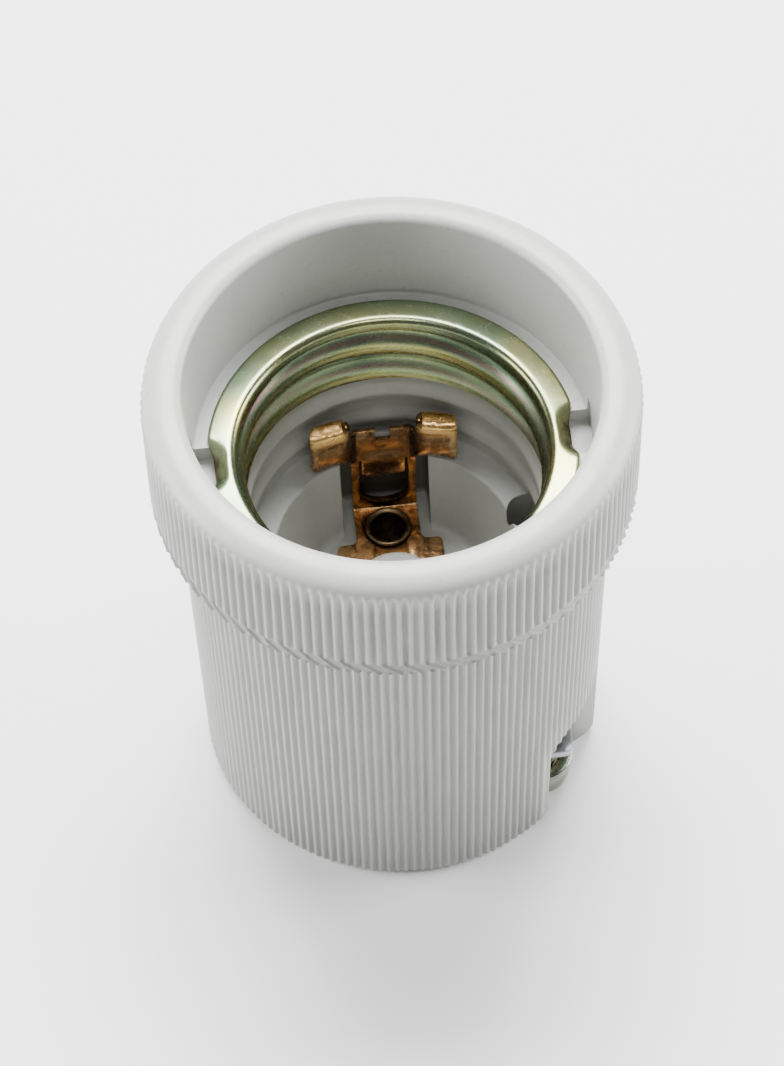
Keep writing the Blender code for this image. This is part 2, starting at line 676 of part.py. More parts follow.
def make_centre_contact(material):
    """A copper leaf: a riveted foot, a riser beside the boss, and a tongue over the axis."""
    bend = STRIP_BEND_RADIUS
    riser = BOSS_RADIUS + SEAT_GAP + 0.5 * STRIP_THICKNESS
    foot_start = foot_reach()
    foot = foot_start - riser - bend
    rise = BOSS_HEIGHT + CENTRE_RISE - SEAT_GAP - 0.5 * STRIP_THICKNESS - 2.0 * bend
    reach = riser - bend + CENTRE_OVERHANG
    path = BendPath((-foot_start, strip_level()), [
        ("run", foot),
        ("bend", bend, 0.5 * math.pi),
        ("run", rise),
        ("bend", bend, -0.5 * math.pi),
        ("run", reach),
    ])
    half = 0.5 * STRIP_WIDTH
    narrow = 0.5 * CENTRE_STRIP_WIDTH
    corner = STRIP_CORNER
    end = path.total()
    outline = mirrored([
        (0.0, 0.0), (half - corner, 0.0), (half, corner),
        (half, foot - corner), (narrow, foot),
        (narrow, end - corner), (narrow - corner, end), (0.0, end),
    ])
    rivet_place = foot_start - RIVET_OFFSET
    rivet_hole = arc_points((0.0, rivet_place), RIVET_HOLE_RADIUS, 0.0, 360.0, SMALL_SEGMENTS)[:-1]

    def place(u, v):
        y, z = path.at(v)
        return u, y, z

    return bent_sheet("centre_contact", outline, [rivet_hole], [], path.bend_lengths(),
                      place, STRIP_THICKNESS, material)


# Rivets and terminals

def make_rivet(name, turned_round, material):
    """A hollow rivet that clamps a contact above the web to a terminal plate below it."""
    top = PIT_FLOOR + SEAT_GAP + STRIP_THICKNESS + RIVET_GAP
    bottom = CHAMBER_HEIGHT - SEAT_GAP - PLATE_THICKNESS - RIVET_GAP
    lip = RIVET_FLANGE_THICKNESS
    profile = [
        (RIVET_BORE_RADIUS, bottom), (RIVET_BORE_RADIUS, top), (RIVET_BORE_RADIUS + lip, top + lip),
        (RIVET_FLANGE_RADIUS, top + 0.5 * lip), (RIVET_FLANGE_RADIUS, top), (RIVET_RADIUS, top),
        (RIVET_RADIUS, bottom), (RIVET_FLANGE_RADIUS, bottom), (RIVET_FLANGE_RADIUS, bottom - 0.5 * lip),
        (RIVET_BORE_RADIUS + lip, bottom - lip),
    ]
    rivet = turned(name, profile, SMALL_SEGMENTS, material)
    rivet.location = (0.0, RIVET_OFFSET if turned_round else -RIVET_OFFSET, 0.0)
    half_turn(rivet, turned_round)
    return rivet


def plate_path():
    """A terminal plate's centre line: under the web at the rivet, one step lower at the screw."""
    level = CHAMBER_HEIGHT - SEAT_GAP - 0.5 * PLATE_THICKNESS
    start = -CHANNEL_END + 2.0 * SEAT_GAP
    bend = PLATE_THICKNESS
    angle = PLATE_JOGGLE_ANGLE
    joggle_reach = 2.0 * bend * math.sin(angle) + PLATE_JOGGLE_RUN * math.cos(angle)
    last = TERMINAL_X + PLATE_END_MARGIN - PLATE_JOGGLE_START - joggle_reach
    return BendPath((start, level), [
        ("run", PLATE_JOGGLE_START - start),
        ("bend", bend, -angle),
        ("run", PLATE_JOGGLE_RUN),
        ("bend", bend, angle),
        ("run", last),
    ])


def make_plate(name, turned_round, material):
    path = plate_path()
    end = path.total()
    start = path.start[0]
    first_bend = PLATE_JOGGLE_START - start
    step_end = path.bend_lengths()[-1]
    near = -CHANNEL_INNER_WALL - SEAT_GAP
    far = -RIVET_OFFSET - (RIVET_OFFSET + near)
    screw_half = 0.5 * PLATE_SCREW_WIDTH
    corner = PLATE_CORNER
    outline = [
        (near, corner), (near, first_bend), (-TERMINAL_Y + screw_half, step_end),
        (-TERMINAL_Y + screw_half, end - corner), (-TERMINAL_Y + screw_half - corner, end),
        (-TERMINAL_Y - screw_half + corner, end), (-TERMINAL_Y - screw_half, end - corner),
        (-TERMINAL_Y - screw_half, step_end), (far, first_bend), (far, corner),
        (far + corner, 0.0), (near - corner, 0.0),
    ]
    rivet_hole = arc_points((-RIVET_OFFSET, -start), RIVET_HOLE_RADIUS, 0.0, 360.0, SMALL_SEGMENTS)[:-1]
    screw_hole = arc_points((-TERMINAL_Y, end - PLATE_END_MARGIN), SCREW_RADIUS + RUNNING_GAP,
                            0.0, 360.0, SMALL_SEGMENTS)[:-1]

    def place(u, v):
        x, z = path.at(v)
        return x, u, z

    plate = bent_sheet(name, outline, [rivet_hole, screw_hole], [], path.bend_lengths(),
                       place, PLATE_THICKNESS, material)
    half_turn(plate, turned_round)
    return plate


def terminal_axis(turned_round):
    sign = -1.0 if turned_round else 1.0
    return sign * TERMINAL_X, -sign * TERMINAL_Y


def make_screw(name, turned_round, material):
    """A slotted cheese-head screw, head down, its origin on its axis under the head."""
    chamfer = SCREW_TIP_CHAMFER
    edge = SCREW_HEAD_EDGE
    profile = [
        (0.0, -SCREW_HEAD_HEIGHT),
        (SCREW_HEAD_RADIUS - edge, -SCREW_HEAD_HEIGHT),
        (SCREW_HEAD_RADIUS, -SCREW_HEAD_HEIGHT + edge),
        (SCREW_HEAD_RADIUS, 0.0),
        (SCREW_RADIUS, 0.0),
        (SCREW_RADIUS, SCREW_LENGTH - chamfer),
        (SCREW_RADIUS - chamfer, SCREW_LENGTH),
        (0.0, SCREW_LENGTH),
    ]
    screw = turned(name, profile, SMALL_SEGMENTS, material)
    reach = SCREW_HEAD_RADIUS + CUT_MARGIN
    slot = prism(name + "_slot_cutter", box_outline(
        -reach, -0.5 * SCREW_SLOT_WIDTH, reach, 0.5 * SCREW_SLOT_WIDTH),
        -SCREW_HEAD_HEIGHT - CUT_MARGIN, -SCREW_HEAD_HEIGHT + SCREW_SLOT_DEPTH)
    slot.parent = screw
    cut(screw, slot)
    screw.location = (*terminal_axis(turned_round), SCREW_HEAD_TOP)
    half_turn(screw, turned_round)
    return screw


def make_washer(name, turned_round, material):
    """The clamp washer that the screw presses on the wire, its origin on the screw's axis."""
    edge = WASHER_EDGE
    hole = SCREW_RADIUS + RUNNING_GAP
    profile = [
        (hole, 0.0), (WASHER_RADIUS - edge, 0.0), (WASHER_RADIUS, edge),
        (WASHER_RADIUS, WASHER_THICKNESS), (hole, WASHER_THICKNESS),
    ]
    washer = turned(name, profile, SMALL_SEGMENTS, material)
    washer.location = (*terminal_axis(turned_round), SCREW_HEAD_TOP + RUNNING_GAP)
    half_turn(washer, turned_round)
    return washer


def main():
    clear_scene()
    porcelain = principled("porcelain", PORCELAIN_COLOUR, 0.45, 0.0)
    zinc = principled("zinc_plated_steel", ZINC_COLOUR, 0.28, 1.0)
    copper = principled("copper", COPPER_COLOUR, 0.30, 1.0)
    brass = principled("brass", BRASS_COLOUR, 0.35, 1.0)
    bright_steel = principled("bright_plated_steel", PLATE_COLOUR, 0.32, 1.0)
    steel = principled("terminal_steel", STEEL_COLOUR, 0.35, 1.0)
    make_body(porcelain)
    make_shell(zinc)
    make_side_contact(copper)
    make_centre_contact(copper)
    for label, turned_round in (("centre", False), ("side", True)):
        make_rivet(label + "_contact_rivet", turned_round, brass)
        make_plate(label + "_terminal_plate", turned_round, bright_steel)
        make_screw(label + "_terminal_screw", turned_round, steel)
        make_washer(label + "_clamp_washer", turned_round, steel)


main()
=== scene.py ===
import math

import bmesh
import bpy
from bpy.props import FloatProperty, FloatVectorProperty, IntProperty, PointerProperty
from mathutils import Matrix, Vector, noise


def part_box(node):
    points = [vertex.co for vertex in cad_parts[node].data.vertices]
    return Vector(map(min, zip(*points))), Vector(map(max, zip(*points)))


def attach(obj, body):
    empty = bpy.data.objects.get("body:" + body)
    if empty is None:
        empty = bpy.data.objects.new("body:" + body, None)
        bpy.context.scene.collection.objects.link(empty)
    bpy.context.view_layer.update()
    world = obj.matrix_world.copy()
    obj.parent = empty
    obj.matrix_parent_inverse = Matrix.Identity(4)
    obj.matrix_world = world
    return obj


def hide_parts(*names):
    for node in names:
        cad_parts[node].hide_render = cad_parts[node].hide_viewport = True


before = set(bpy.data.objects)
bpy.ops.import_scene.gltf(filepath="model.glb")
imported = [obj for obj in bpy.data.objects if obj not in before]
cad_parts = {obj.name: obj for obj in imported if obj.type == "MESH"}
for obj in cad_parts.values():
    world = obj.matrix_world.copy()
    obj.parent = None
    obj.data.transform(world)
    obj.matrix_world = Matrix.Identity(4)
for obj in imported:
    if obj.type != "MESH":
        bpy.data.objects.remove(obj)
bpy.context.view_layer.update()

bl_info = {
    "name": "Ceramic lamp holder",
    "version": (1, 0, 0),
    "blender": (4, 5, 0),
    "location": "3D View > Sidebar > Lamp Holder",
    "description": "Dresses the packed lamp holder with its fine surfaces and finishes",
    "category": "Object",
}

FULL_TURN = 2.0 * math.pi
QUARTER_TURN = 0.5 * math.pi

# Corners of the solids' boxes, read from the frame
_, BODY_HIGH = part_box("porcelain_body")
SHELL_LOW, SHELL_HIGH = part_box("screw_shell")
SIDE_LOW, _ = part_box("side_contact")
LEAF_LOW, LEAF_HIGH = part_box("centre_contact")
PLATE_LOW, PLATE_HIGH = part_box("centre_terminal_plate")
SCREW_LOW, SCREW_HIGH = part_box("centre_terminal_screw")
WASHER_LOW, WASHER_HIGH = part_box("centre_clamp_washer")
RIVET_LOW, RIVET_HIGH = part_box("side_contact_rivet")

# Clearances that the solids keep between seated, moving and riveted pieces
SEAT_GAP = 0.0003
RUNNING_GAP = 0.0003
RIVET_GAP = 0.0001

# Screw shell
SHEET_THICKNESS = 0.00035
SHELL_MINOR_RADIUS = 0.01218
THREAD_DEPTH = 0.0011
SHELL_OUTER_RADIUS = SHELL_MINOR_RADIUS + THREAD_DEPTH + SHEET_THICKNESS
FLANGE_RADIUS = SHELL_HIGH.y
FLANGE_TOP = SHELL_HIGH.z
FLANGE_LOW = FLANGE_TOP - SHEET_THICKNESS

# Contact strips, rivets, terminal screws and washers
STRIP_THICKNESS = 0.0004
STRIP_BEND_RADIUS = 0.0004
STRIP_CORNER = 0.0005
STRIP_WEAR = 0.00007
RIVET_BORE_RADIUS = 0.0015
RIVET_WALL = 0.0003
RIVET_HOLE_RADIUS = RIVET_BORE_RADIUS + RIVET_WALL + RIVET_GAP
RIVET_OFFSET = 0.5 * (RIVET_LOW.y + RIVET_HIGH.y)
RIVET_FLANGE_RADIUS = 0.5 * (RIVET_HIGH.y - RIVET_LOW.y)
TERMINAL_X = 0.5 * (SCREW_LOW.x + SCREW_HIGH.x)
TERMINAL_Y = -0.5 * (SCREW_LOW.y + SCREW_HIGH.y)
SCREW_RADIUS = 0.0015
SCREW_HOLE_RADIUS = SCREW_RADIUS + RUNNING_GAP
SCREW_HEAD_RADIUS = 0.5 * (SCREW_HIGH.x - SCREW_LOW.x)
WASHER_RADIUS = 0.5 * (WASHER_HIGH.x - WASHER_LOW.x)

# Levels of the porcelain, from the base up
PIT_DEPTH = 0.0080
BOSS_HEIGHT = 0.0030
BASE_ROUNDING = 0.0011
SHOULDER_HEIGHT = 0.0011
CHAMBER_HEIGHT = PLATE_HIGH.z + SEAT_GAP
PIT_FLOOR = SIDE_LOW.z - SEAT_GAP
LEDGE = PIT_FLOOR + PIT_DEPTH
SHELL_SEAT = SHELL_LOW.z - SEAT_GAP
FLANGE_SEAT = FLANGE_LOW - SEAT_GAP
HEIGHT = BODY_HIGH.z

# Radii of the porcelain, from the outside in
FLANGE_CLEAR = 0.00119
MOUTH_TAPER = 0.00035
GUIDE_STEP = 0.00123
LEDGE_WIDTH = 0.0024
PIT_TAPER = 0.0014
BOSS_CLEAR = 0.00175
STEM_CLEAR = 0.0026
COLLAR_RADIUS = BODY_HIGH.x
MOUTH_RADIUS = FLANGE_RADIUS + FLANGE_CLEAR + MOUTH_TAPER
SHELL_BORE_RADIUS = SHELL_OUTER_RADIUS + RUNNING_GAP
GUIDE_RADIUS = SHELL_BORE_RADIUS - GUIDE_STEP
PIT_TOP_RADIUS = GUIDE_RADIUS - LEDGE_WIDTH
PIT_FLOOR_RADIUS = PIT_TOP_RADIUS - PIT_TAPER
STEM_OFFSET = GUIDE_RADIUS - STEM_CLEAR
BOSS_RADIUS = RIVET_OFFSET - RIVET_FLANGE_RADIUS - BOSS_CLEAR

# Terminal channels, each measured from the holder's axis
MOUTH_STEP = 0.0010
WIRE_ROOM = 0.0014
MOUTH_WALL = TERMINAL_Y - RUNNING_GAP - WASHER_RADIUS
CHANNEL_INNER_WALL = MOUTH_WALL - MOUTH_STEP
CHANNEL_OUTER_WALL = TERMINAL_Y + WASHER_RADIUS + WIRE_ROOM

# The photograph's camera, in metres and radians, its lens and sensor in millimetres
VIEW_DISTANCE = 0.320
VIEW_ELEVATION = 0.969
VIEW_ROLL = -0.031
VIEW_TURN = math.radians(-5.0)
VIEW_AIM = Vector((-0.00031, 0.0, 0.02783))
VIEW_LENS = 128.2
VIEW_SENSOR_WIDTH = 36.0
VIEW_NEAR = 0.01
VIEW_FAR = 20.0


def length(name, description, default):
    """A length that a user would change, in metres."""
    return FloatProperty(
        name=name, description=description, default=default, subtype='DISTANCE', unit='LENGTH', precision=6)


def tint(name, description, default):
    """A colour that a user would change."""
    return FloatVectorProperty(
        name=name, description=description, default=default, subtype='COLOR', size=3, min=0.0, max=1.0)


def power(name, description, default):
    """A light's power that a user would change, in watts."""
    return FloatProperty(name=name, description=description, default=default, min=0.0, unit='POWER')


class BodySizes(bpy.types.PropertyGroup):
    """Sizes and finish of the porcelain body."""

    rib_count: IntProperty(
        name="Ribs", description="Upright ribs round the body", default=148, min=40, max=240)
    rib_depth: length("Rib depth", "From a rib's crest to its groove", 0.00030)
    base_rib_share: FloatProperty(
        name="Rib share at the base",
        description="Depth of the ribs at the base as a share of their full depth",
        default=0.75, subtype='FACTOR', min=0.0, max=1.0)
    base_radius: length("Base radius", "Radius over the ribs at the base", 0.01745)
    neck_radius: length("Neck radius", "Radius over the ribs under the collar", 0.01800)
    collar_height: length("Collar height", "From the rim's top to the collar's lower edge", 0.0118)
    rim_width: length("Rim rounding, width", "Width of the rim's outer rounding", 0.0021)
    rim_drop: length("Rim rounding, height", "Height of the rim's outer rounding", 0.0019)
    lip_width: length("Lip rounding, width", "Width of the mouth's inner rounding", 0.0009)
    lip_drop: length("Lip rounding, height", "Height of the mouth's inner rounding", 0.0007)
    strand_depth: length(
        "Burr depth", "Depth between the burr's strokes along the collar's edge", 0.00022)
    colour: tint("Porcelain", "Colour of the unglazed porcelain", (0.475, 0.48, 0.455))
    # The groove colour is the painted shade in the grooves, the channels and the socket, and also the colour
    # of the mottle and the specks
    shade_and_speck_colour: tint(
        "Porcelain in grooves", "Colour that dust gives to the grooves", (0.20, 0.205, 0.185))
    # Colour of the painted shade on the slot's wall behind the side contact
    recess_shade_colour: tint(
        "Porcelain behind the strip", "Colour of the dark recess behind the side contact",
        (0.045, 0.035, 0.026))


class ShellSizes(bpy.types.PropertyGroup):
    """Sizes and finish of the screw shell."""

    minor_radius: length("Clear bore", "Radius inside the thread's crests", SHELL_MINOR_RADIUS)
    thread_depth: length("Thread depth", "From the thread's crest to its groove", THREAD_DEPTH)
    thread_pitch: length("Thread pitch", "Rise of the thread in one turn", 0.003629)
    stake_depth: length("Stake depth", "Width of the flange's edge that each stake bends down", 0.0013)
    stake_drop: length("Stake drop", "How far each stake drives the flange's edge down", 0.0011)
    # The darkest tint also falls in the thread's grooves as painted shade
    dark: tint("Plating, dark green", "Darkest tint of the zinc plating", (0.09, 0.12, 0.075))
    green: tint("Plating, green", "Main tint of the zinc plating", (0.19, 0.26, 0.17))
    yellow: tint("Plating, yellow", "Yellow tint of the zinc plating", (0.38, 0.35, 0.14))
    pink: tint("Plating, pink", "Pink tint of the zinc plating", (0.29, 0.19, 0.17))
    pale: tint("Plating, pale", "Palest tint of the zinc plating", (0.38, 0.43, 0.24))
    # Colour of the painted shade on the flange where the stakes press it down
    stake_shade: tint("Rubbed stakes", "Brown of the places that the staking punch rubbed", (0.20, 0.15, 0.085))


class ContactSizes(bpy.types.PropertyGroup):
    """Sizes and finish of the contacts, rivets and terminals."""

    strip_width: length("Strip width", "Width of the side contact's strip", 0.0056)
    pad_width: length("Pad width", "Width of each pad of the side contact", 0.0035)
    pad_height: length("Pad height", "Height of each pad of the side contact", 0.0045)
    screw_pitch: length("Screw pitch", "Pitch of the terminal screws", 0.0005)
    copper: tint("Copper", "Colour of the contact strips", (0.66, 0.40, 0.18))
    polished: tint(
        "Polished copper", "Colour of the pads' tops, which a lamp's cap rubs bright", (0.58, 0.35, 0.13))
    # Colour of the tarnish, and of the painted shade at the necks, low on the stem and on the tongue
    tarnish_and_shade: tint("Tarnish", "Colour of the strips' tarnished places", (0.10, 0.054, 0.024))
    brass: tint("Brass", "Colour of the tube rivets", (0.24, 0.17, 0.09))
    zinc: tint("Bright zinc", "Colour of the terminal plates", (0.44, 0.47, 0.49))
    steel: tint("Terminal steel", "Main tint of the plated screws and washers", (0.24, 0.27, 0.21))
    rust: tint("Terminal rust", "Orange places of the screws and washers", (0.50, 0.26, 0.09))


class StageSizes(bpy.types.PropertyGroup):
    """Floor and light."""

    floor_size: length("Floor", "Length of the floor's sides", 3.0)
    floor_colour: tint("Floor colour", "Colour of the plain pale floor", (0.93, 0.93, 0.93))
    top_power: power("Top light", "Power of the large soft light above", 30.0)
    front_power: power("Front light", "Power of the small soft light above the front", 1.25)
    side_power: power("Side lights", "Power of each of the two soft lights beside", 5.6)
    sky_strength: FloatProperty(
        name="Surrounding light", description="Strength of the even light around", default=0.15, min=0.0)


# Shared shape tools

def polar(radius, angle):
    return radius * math.cos(angle), radius * math.sin(angle)


def smoothstep(low, high, value):
    """Nothing up to low and one from high on, with a soft start and end between them."""
    share = min(1.0, max(0.0, (value - low) / (high - low)))
    return share * share * (3.0 - 2.0 * share)


def bell(distance, width):
    """One at no distance, falling softly to nothing on both sides."""
    return math.exp(-(distance / width) ** 2)


def spaced(low, high, steps):
    """Evenly spaced values from low to high, both included."""
    return [low + (high - low) * step / steps for step in range(steps + 1)]


def arc_points(centre, radius, start, end, steps):
    """Points of an arc in a plane, both ends included, angles in degrees."""
    points = []
    for degrees in spaced(start, end, steps):
        angle = math.radians(degrees)
        points.append((centre[0] + radius * math.cos(angle), centre[1] + radius * math.sin(angle)))
    return points


def round_outline(centre, radius, segments):
    """A circle's points, none of them twice."""
    return arc_points(centre, radius, 0.0, 360.0, segments)[:-1]


def box_outline(low_x, low_y, high_x, high_y):
    return [(low_x, low_y), (high_x, low_y), (high_x, high_y), (low_x, high_y)]


def mirrored(half_outline):
    """A whole outline from its half, which starts and ends on the middle line."""
    return half_outline + [(-u, v) for u, v in reversed(half_outline) if u > 0.0]


def rounded_outline(corners, radius, steps=4):
    """A plan outline whose corners are rounded, by less where a side is short."""
    side_share = 0.45
    points = []
    for index, corner in enumerate(corners):
        here = Vector(corner)
        before = Vector(corners[index - 1]) - here
        after = Vector(corners[(index + 1) % len(corners)]) - here
        reach = min(radius, side_share * before.length, side_share * after.length)
        first = here + before.normalized() * reach
        last = here + after.normalized() * reach
        for step in range(steps + 1):
            share = step / steps
            point = (1 - share) ** 2 * first + 2 * share * (1 - share) * here + share ** 2 * last
            points.append((point.x, point.y))
    return points


def smooth_but_edges(mesh, smooth_angle):
    """Smooth shading, broken where two faces meet at more than an angle in degrees."""
    mesh.shade_smooth()
    mesh.set_sharp_from_angle(angle=math.radians(smooth_angle))


def new_piece(name, vertices, faces, smooth_angle):
    """A mesh object with outward faces, smooth but for its real edges."""
    mesh = bpy.data.meshes.new(name)
    mesh.from_pydata(vertices, [], faces)
    edit = bmesh.new()
    edit.from_mesh(mesh)
    bmesh.ops.recalc_face_normals(edit, faces=edit.faces)
    edit.to_mesh(mesh)
    edit.free()
    smooth_but_edges(mesh, smooth_angle)
    piece = bpy.data.objects.new(name, mesh)
    bpy.context.scene.collection.objects.link(piece)
    return piece


def ring_solid(name, columns, smooth_angle):
    """A closed solid from equal closed sections, one behind the other round a ring."""
    count = len(columns[0])
    vertices = [point for column in columns for point in column]
    faces = []
    for index in range(len(columns)):
        here = index * count
        there = ((index + 1) % len(columns)) * count
        for place in range(count):
            after = (place + 1) % count
            faces.append((here + place, there + place, there + after, here + after))
    return new_piece(name, vertices, faces, smooth_angle)


def turned_ring(name, profile, segments, smooth_angle):
    """A ring turned from a closed profile that stays off the axis."""
    columns = []
    for index in range(segments):
        angle = FULL_TURN * index / segments
        columns.append([(*polar(radius, angle), height) for radius, height in profile])
    return ring_solid(name, columns, smooth_angle)


def stacked_solid(name, rings, smooth_angle=35.0):
    """A closed solid through rings of equal point counts, with a flat cap at each end."""
    count = len(rings[0])
    vertices = [point for ring in rings for point in ring]
    faces = []
    for level in range(len(rings) - 1):
        low = level * count
        high = low + count
        for index in range(count):
            after = (index + 1) % count
            faces.append((low + index, low + after, high + after, high + index))
    faces.append(tuple(range(count)))
    faces.append(tuple(range(len(vertices) - count, len(vertices))))
    return new_piece(name, vertices, faces, smooth_angle)


def turned_bar(name, profile, segments):
    """A solid of revolution with a flat round cap at each end of its profile."""
    angles = [FULL_TURN * index / segments for index in range(segments)]
    return stacked_solid(name, [[(*polar(radius, angle), height) for angle in angles]
                                for radius, height in profile])


def prism(name, outline, low, high):
    return stacked_solid(name, [[(x, y, level) for x, y in outline] for level in (low, high)])


def round_bar(name, radius, low, high, centre, segments=48):
    return prism(name, round_outline(centre, radius, segments), low, high)


def keep_modifiers(piece, smooth_angle):
    """Replaces the piece's mesh by what its modifiers make of it."""
    bpy.context.view_layer.update()
    depsgraph = bpy.context.evaluated_depsgraph_get()
    mesh = bpy.data.meshes.new_from_object(piece.evaluated_get(depsgraph))
    piece.modifiers.clear()
    piece.data = mesh
    smooth_but_edges(mesh, smooth_angle)


def cut_away(piece, cutters, smooth_angle):
    """Takes the cutters out of the piece, and then removes them."""
    for cutter in cutters:
        modifier = piece.modifiers.new(cutter.name, 'BOOLEAN')
        modifier.operation = 'DIFFERENCE'
        modifier.solver = 'MANIFOLD'
        modifier.object = cutter
    keep_modifiers(piece, smooth_angle)
    for cutter in cutters:
        bpy.data.objects.remove(cutter, do_unlink=True)


def half_turn(piece, turned_round):
    """Turns a piece half round the holder's axis if it is the twin on the other side."""
    if turned_round:
        piece.data.transform(Matrix.Rotation(math.pi, 4, 'Z'))


def move_to(piece, x, y):
    piece.data.transform(Matrix.Translation((x, y, 0.0)))


def mark(piece, name, measure):
    """Stores on each point the number that the piece's material reads by this name."""
    layer = piece.data.attributes.new(name, 'FLOAT', 'POINT')
    for index, vertex in enumerate(piece.data.vertices):
        layer.data[index].value = measure(vertex.co)


def dress(piece, node, body, material):
    """Gives a finished piece its material and its body, and hides the solid of the node that it stands for.
    """
    piece.data.materials.clear()
    piece.data.materials.append(material)
    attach(piece, body)
    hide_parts(node)


# Bent sheets

class BendPath:
    """A strip's centre line in a plane: straight runs joined by round bends."""

    def __init__(self, start, steps):
        self.start = start
        self.steps = steps

    def at(self, distance):
        """The point at a distance along the line, which runs on straight beyond its end."""
        point = Vector(self.start)
        heading = 0.0
        left = distance
        for kind, size, *more in self.steps:
            ahead = Vector((math.cos(heading), math.sin(heading)))
            if kind == "run":
                if left <= size:
                    return point + left * ahead
                point = point + size * ahead
                left -= size
                continue
            turn = more[0]
            side = math.copysign(1.0, turn)
            part = min(left, size * abs(turn))
            centre = point + size * side * Vector((-ahead.y, ahead.x))
            heading += side * part / size
            point = centre - size * side * Vector((-math.sin(heading), math.cos(heading)))
            left -= part
            if left <= 0.0:
                return point
        return point + left * Vector((math.cos(heading), math.sin(heading)))

    def spans(self):
        return [size if kind == "run" else size * abs(more[0]) for kind, size, *more in self.steps]

    def total(self):
        return sum(self.spans())

    def bend_lengths(self, parts=8):
        """Distances at which a flat blank is cut to follow the bends."""
        distances = []
        start = 0.0
        for step, span in zip(self.steps, self.spans()):
            if step[0] == "bend":
                distances += [start + span * part / parts for part in range(parts + 1)]
            start += span
        return distances


def cut_blank(outline, holes, across, along):
    """A flat blank with holes, cut into strips at the given distances across and along it."""
    snap = 1e-7
    flat = bmesh.new()
    edges = []
    for loop in [outline] + holes:
        corners = [flat.verts.new((u, v, 0.0)) for u, v in loop]
        for index, corner in enumerate(corners):
            edges.append(flat.edges.new((corner, corners[(index + 1) % len(corners)])))
    bmesh.ops.triangle_fill(flat, use_beauty=True, edges=edges, normal=(0.0, 0.0, 1.0))
    cuts = [((u, 0.0, 0.0), (1.0, 0.0, 0.0)) for u in across]
    cuts += [((0.0, v, 0.0), (0.0, 1.0, 0.0)) for v in along]
    for origin, normal in cuts:
        parts = flat.verts[:] + flat.edges[:] + flat.faces[:]
        bmesh.ops.bisect_plane(flat, geom=parts, dist=snap, plane_co=origin, plane_no=normal)
    flat.verts.index_update()
    return flat


def bent_sheet(name, blank, place, thickness, wear):
    """Lays a flat blank on a surface, thickens it to both sides and wears its edges round."""
    probe = 1e-5
    upper = []
    lower = []
    for corner in blank.verts:
        u, v = corner.co.x, corner.co.y
        middle = Vector(place(u, v))
        slope_u = Vector(place(u + probe, v)) - Vector(place(u - probe, v))
        slope_v = Vector(place(u, v + probe)) - Vector(place(u, v - probe))
        offset = 0.5 * thickness * slope_u.cross(slope_v).normalized()
        upper.append(middle + offset)
        lower.append(middle - offset)
    count = len(upper)
    faces = []
    for face in blank.faces:
        order = [corner.index for corner in face.verts]
        faces.append(order)
        faces.append([count + index for index in reversed(order)])
    for edge in blank.edges:
        if len(edge.link_faces) == 1:
            first, second = (corner.index for corner in edge.verts)
            faces.append((first, second, count + second, count + first))
    blank.free()
    smooth_angle = 40.0
    piece = new_piece(name, upper + lower, faces, smooth_angle)
    edging = piece.modifiers.new("worn_edges", 'BEVEL')
    edging.width = wear
    edging.segments = 2
    edging.limit_method = 'ANGLE'
    edging.angle_limit = math.radians(50.0)
    keep_modifiers(piece, smooth_angle)
    return piece


# Material tools

MIX_FIRST_COLOUR = 6
MIX_SECOND_COLOUR = 7
MIX_COLOUR_RESULT = 2


def shade(colour, share):
    return tuple(share * part for part in colour)


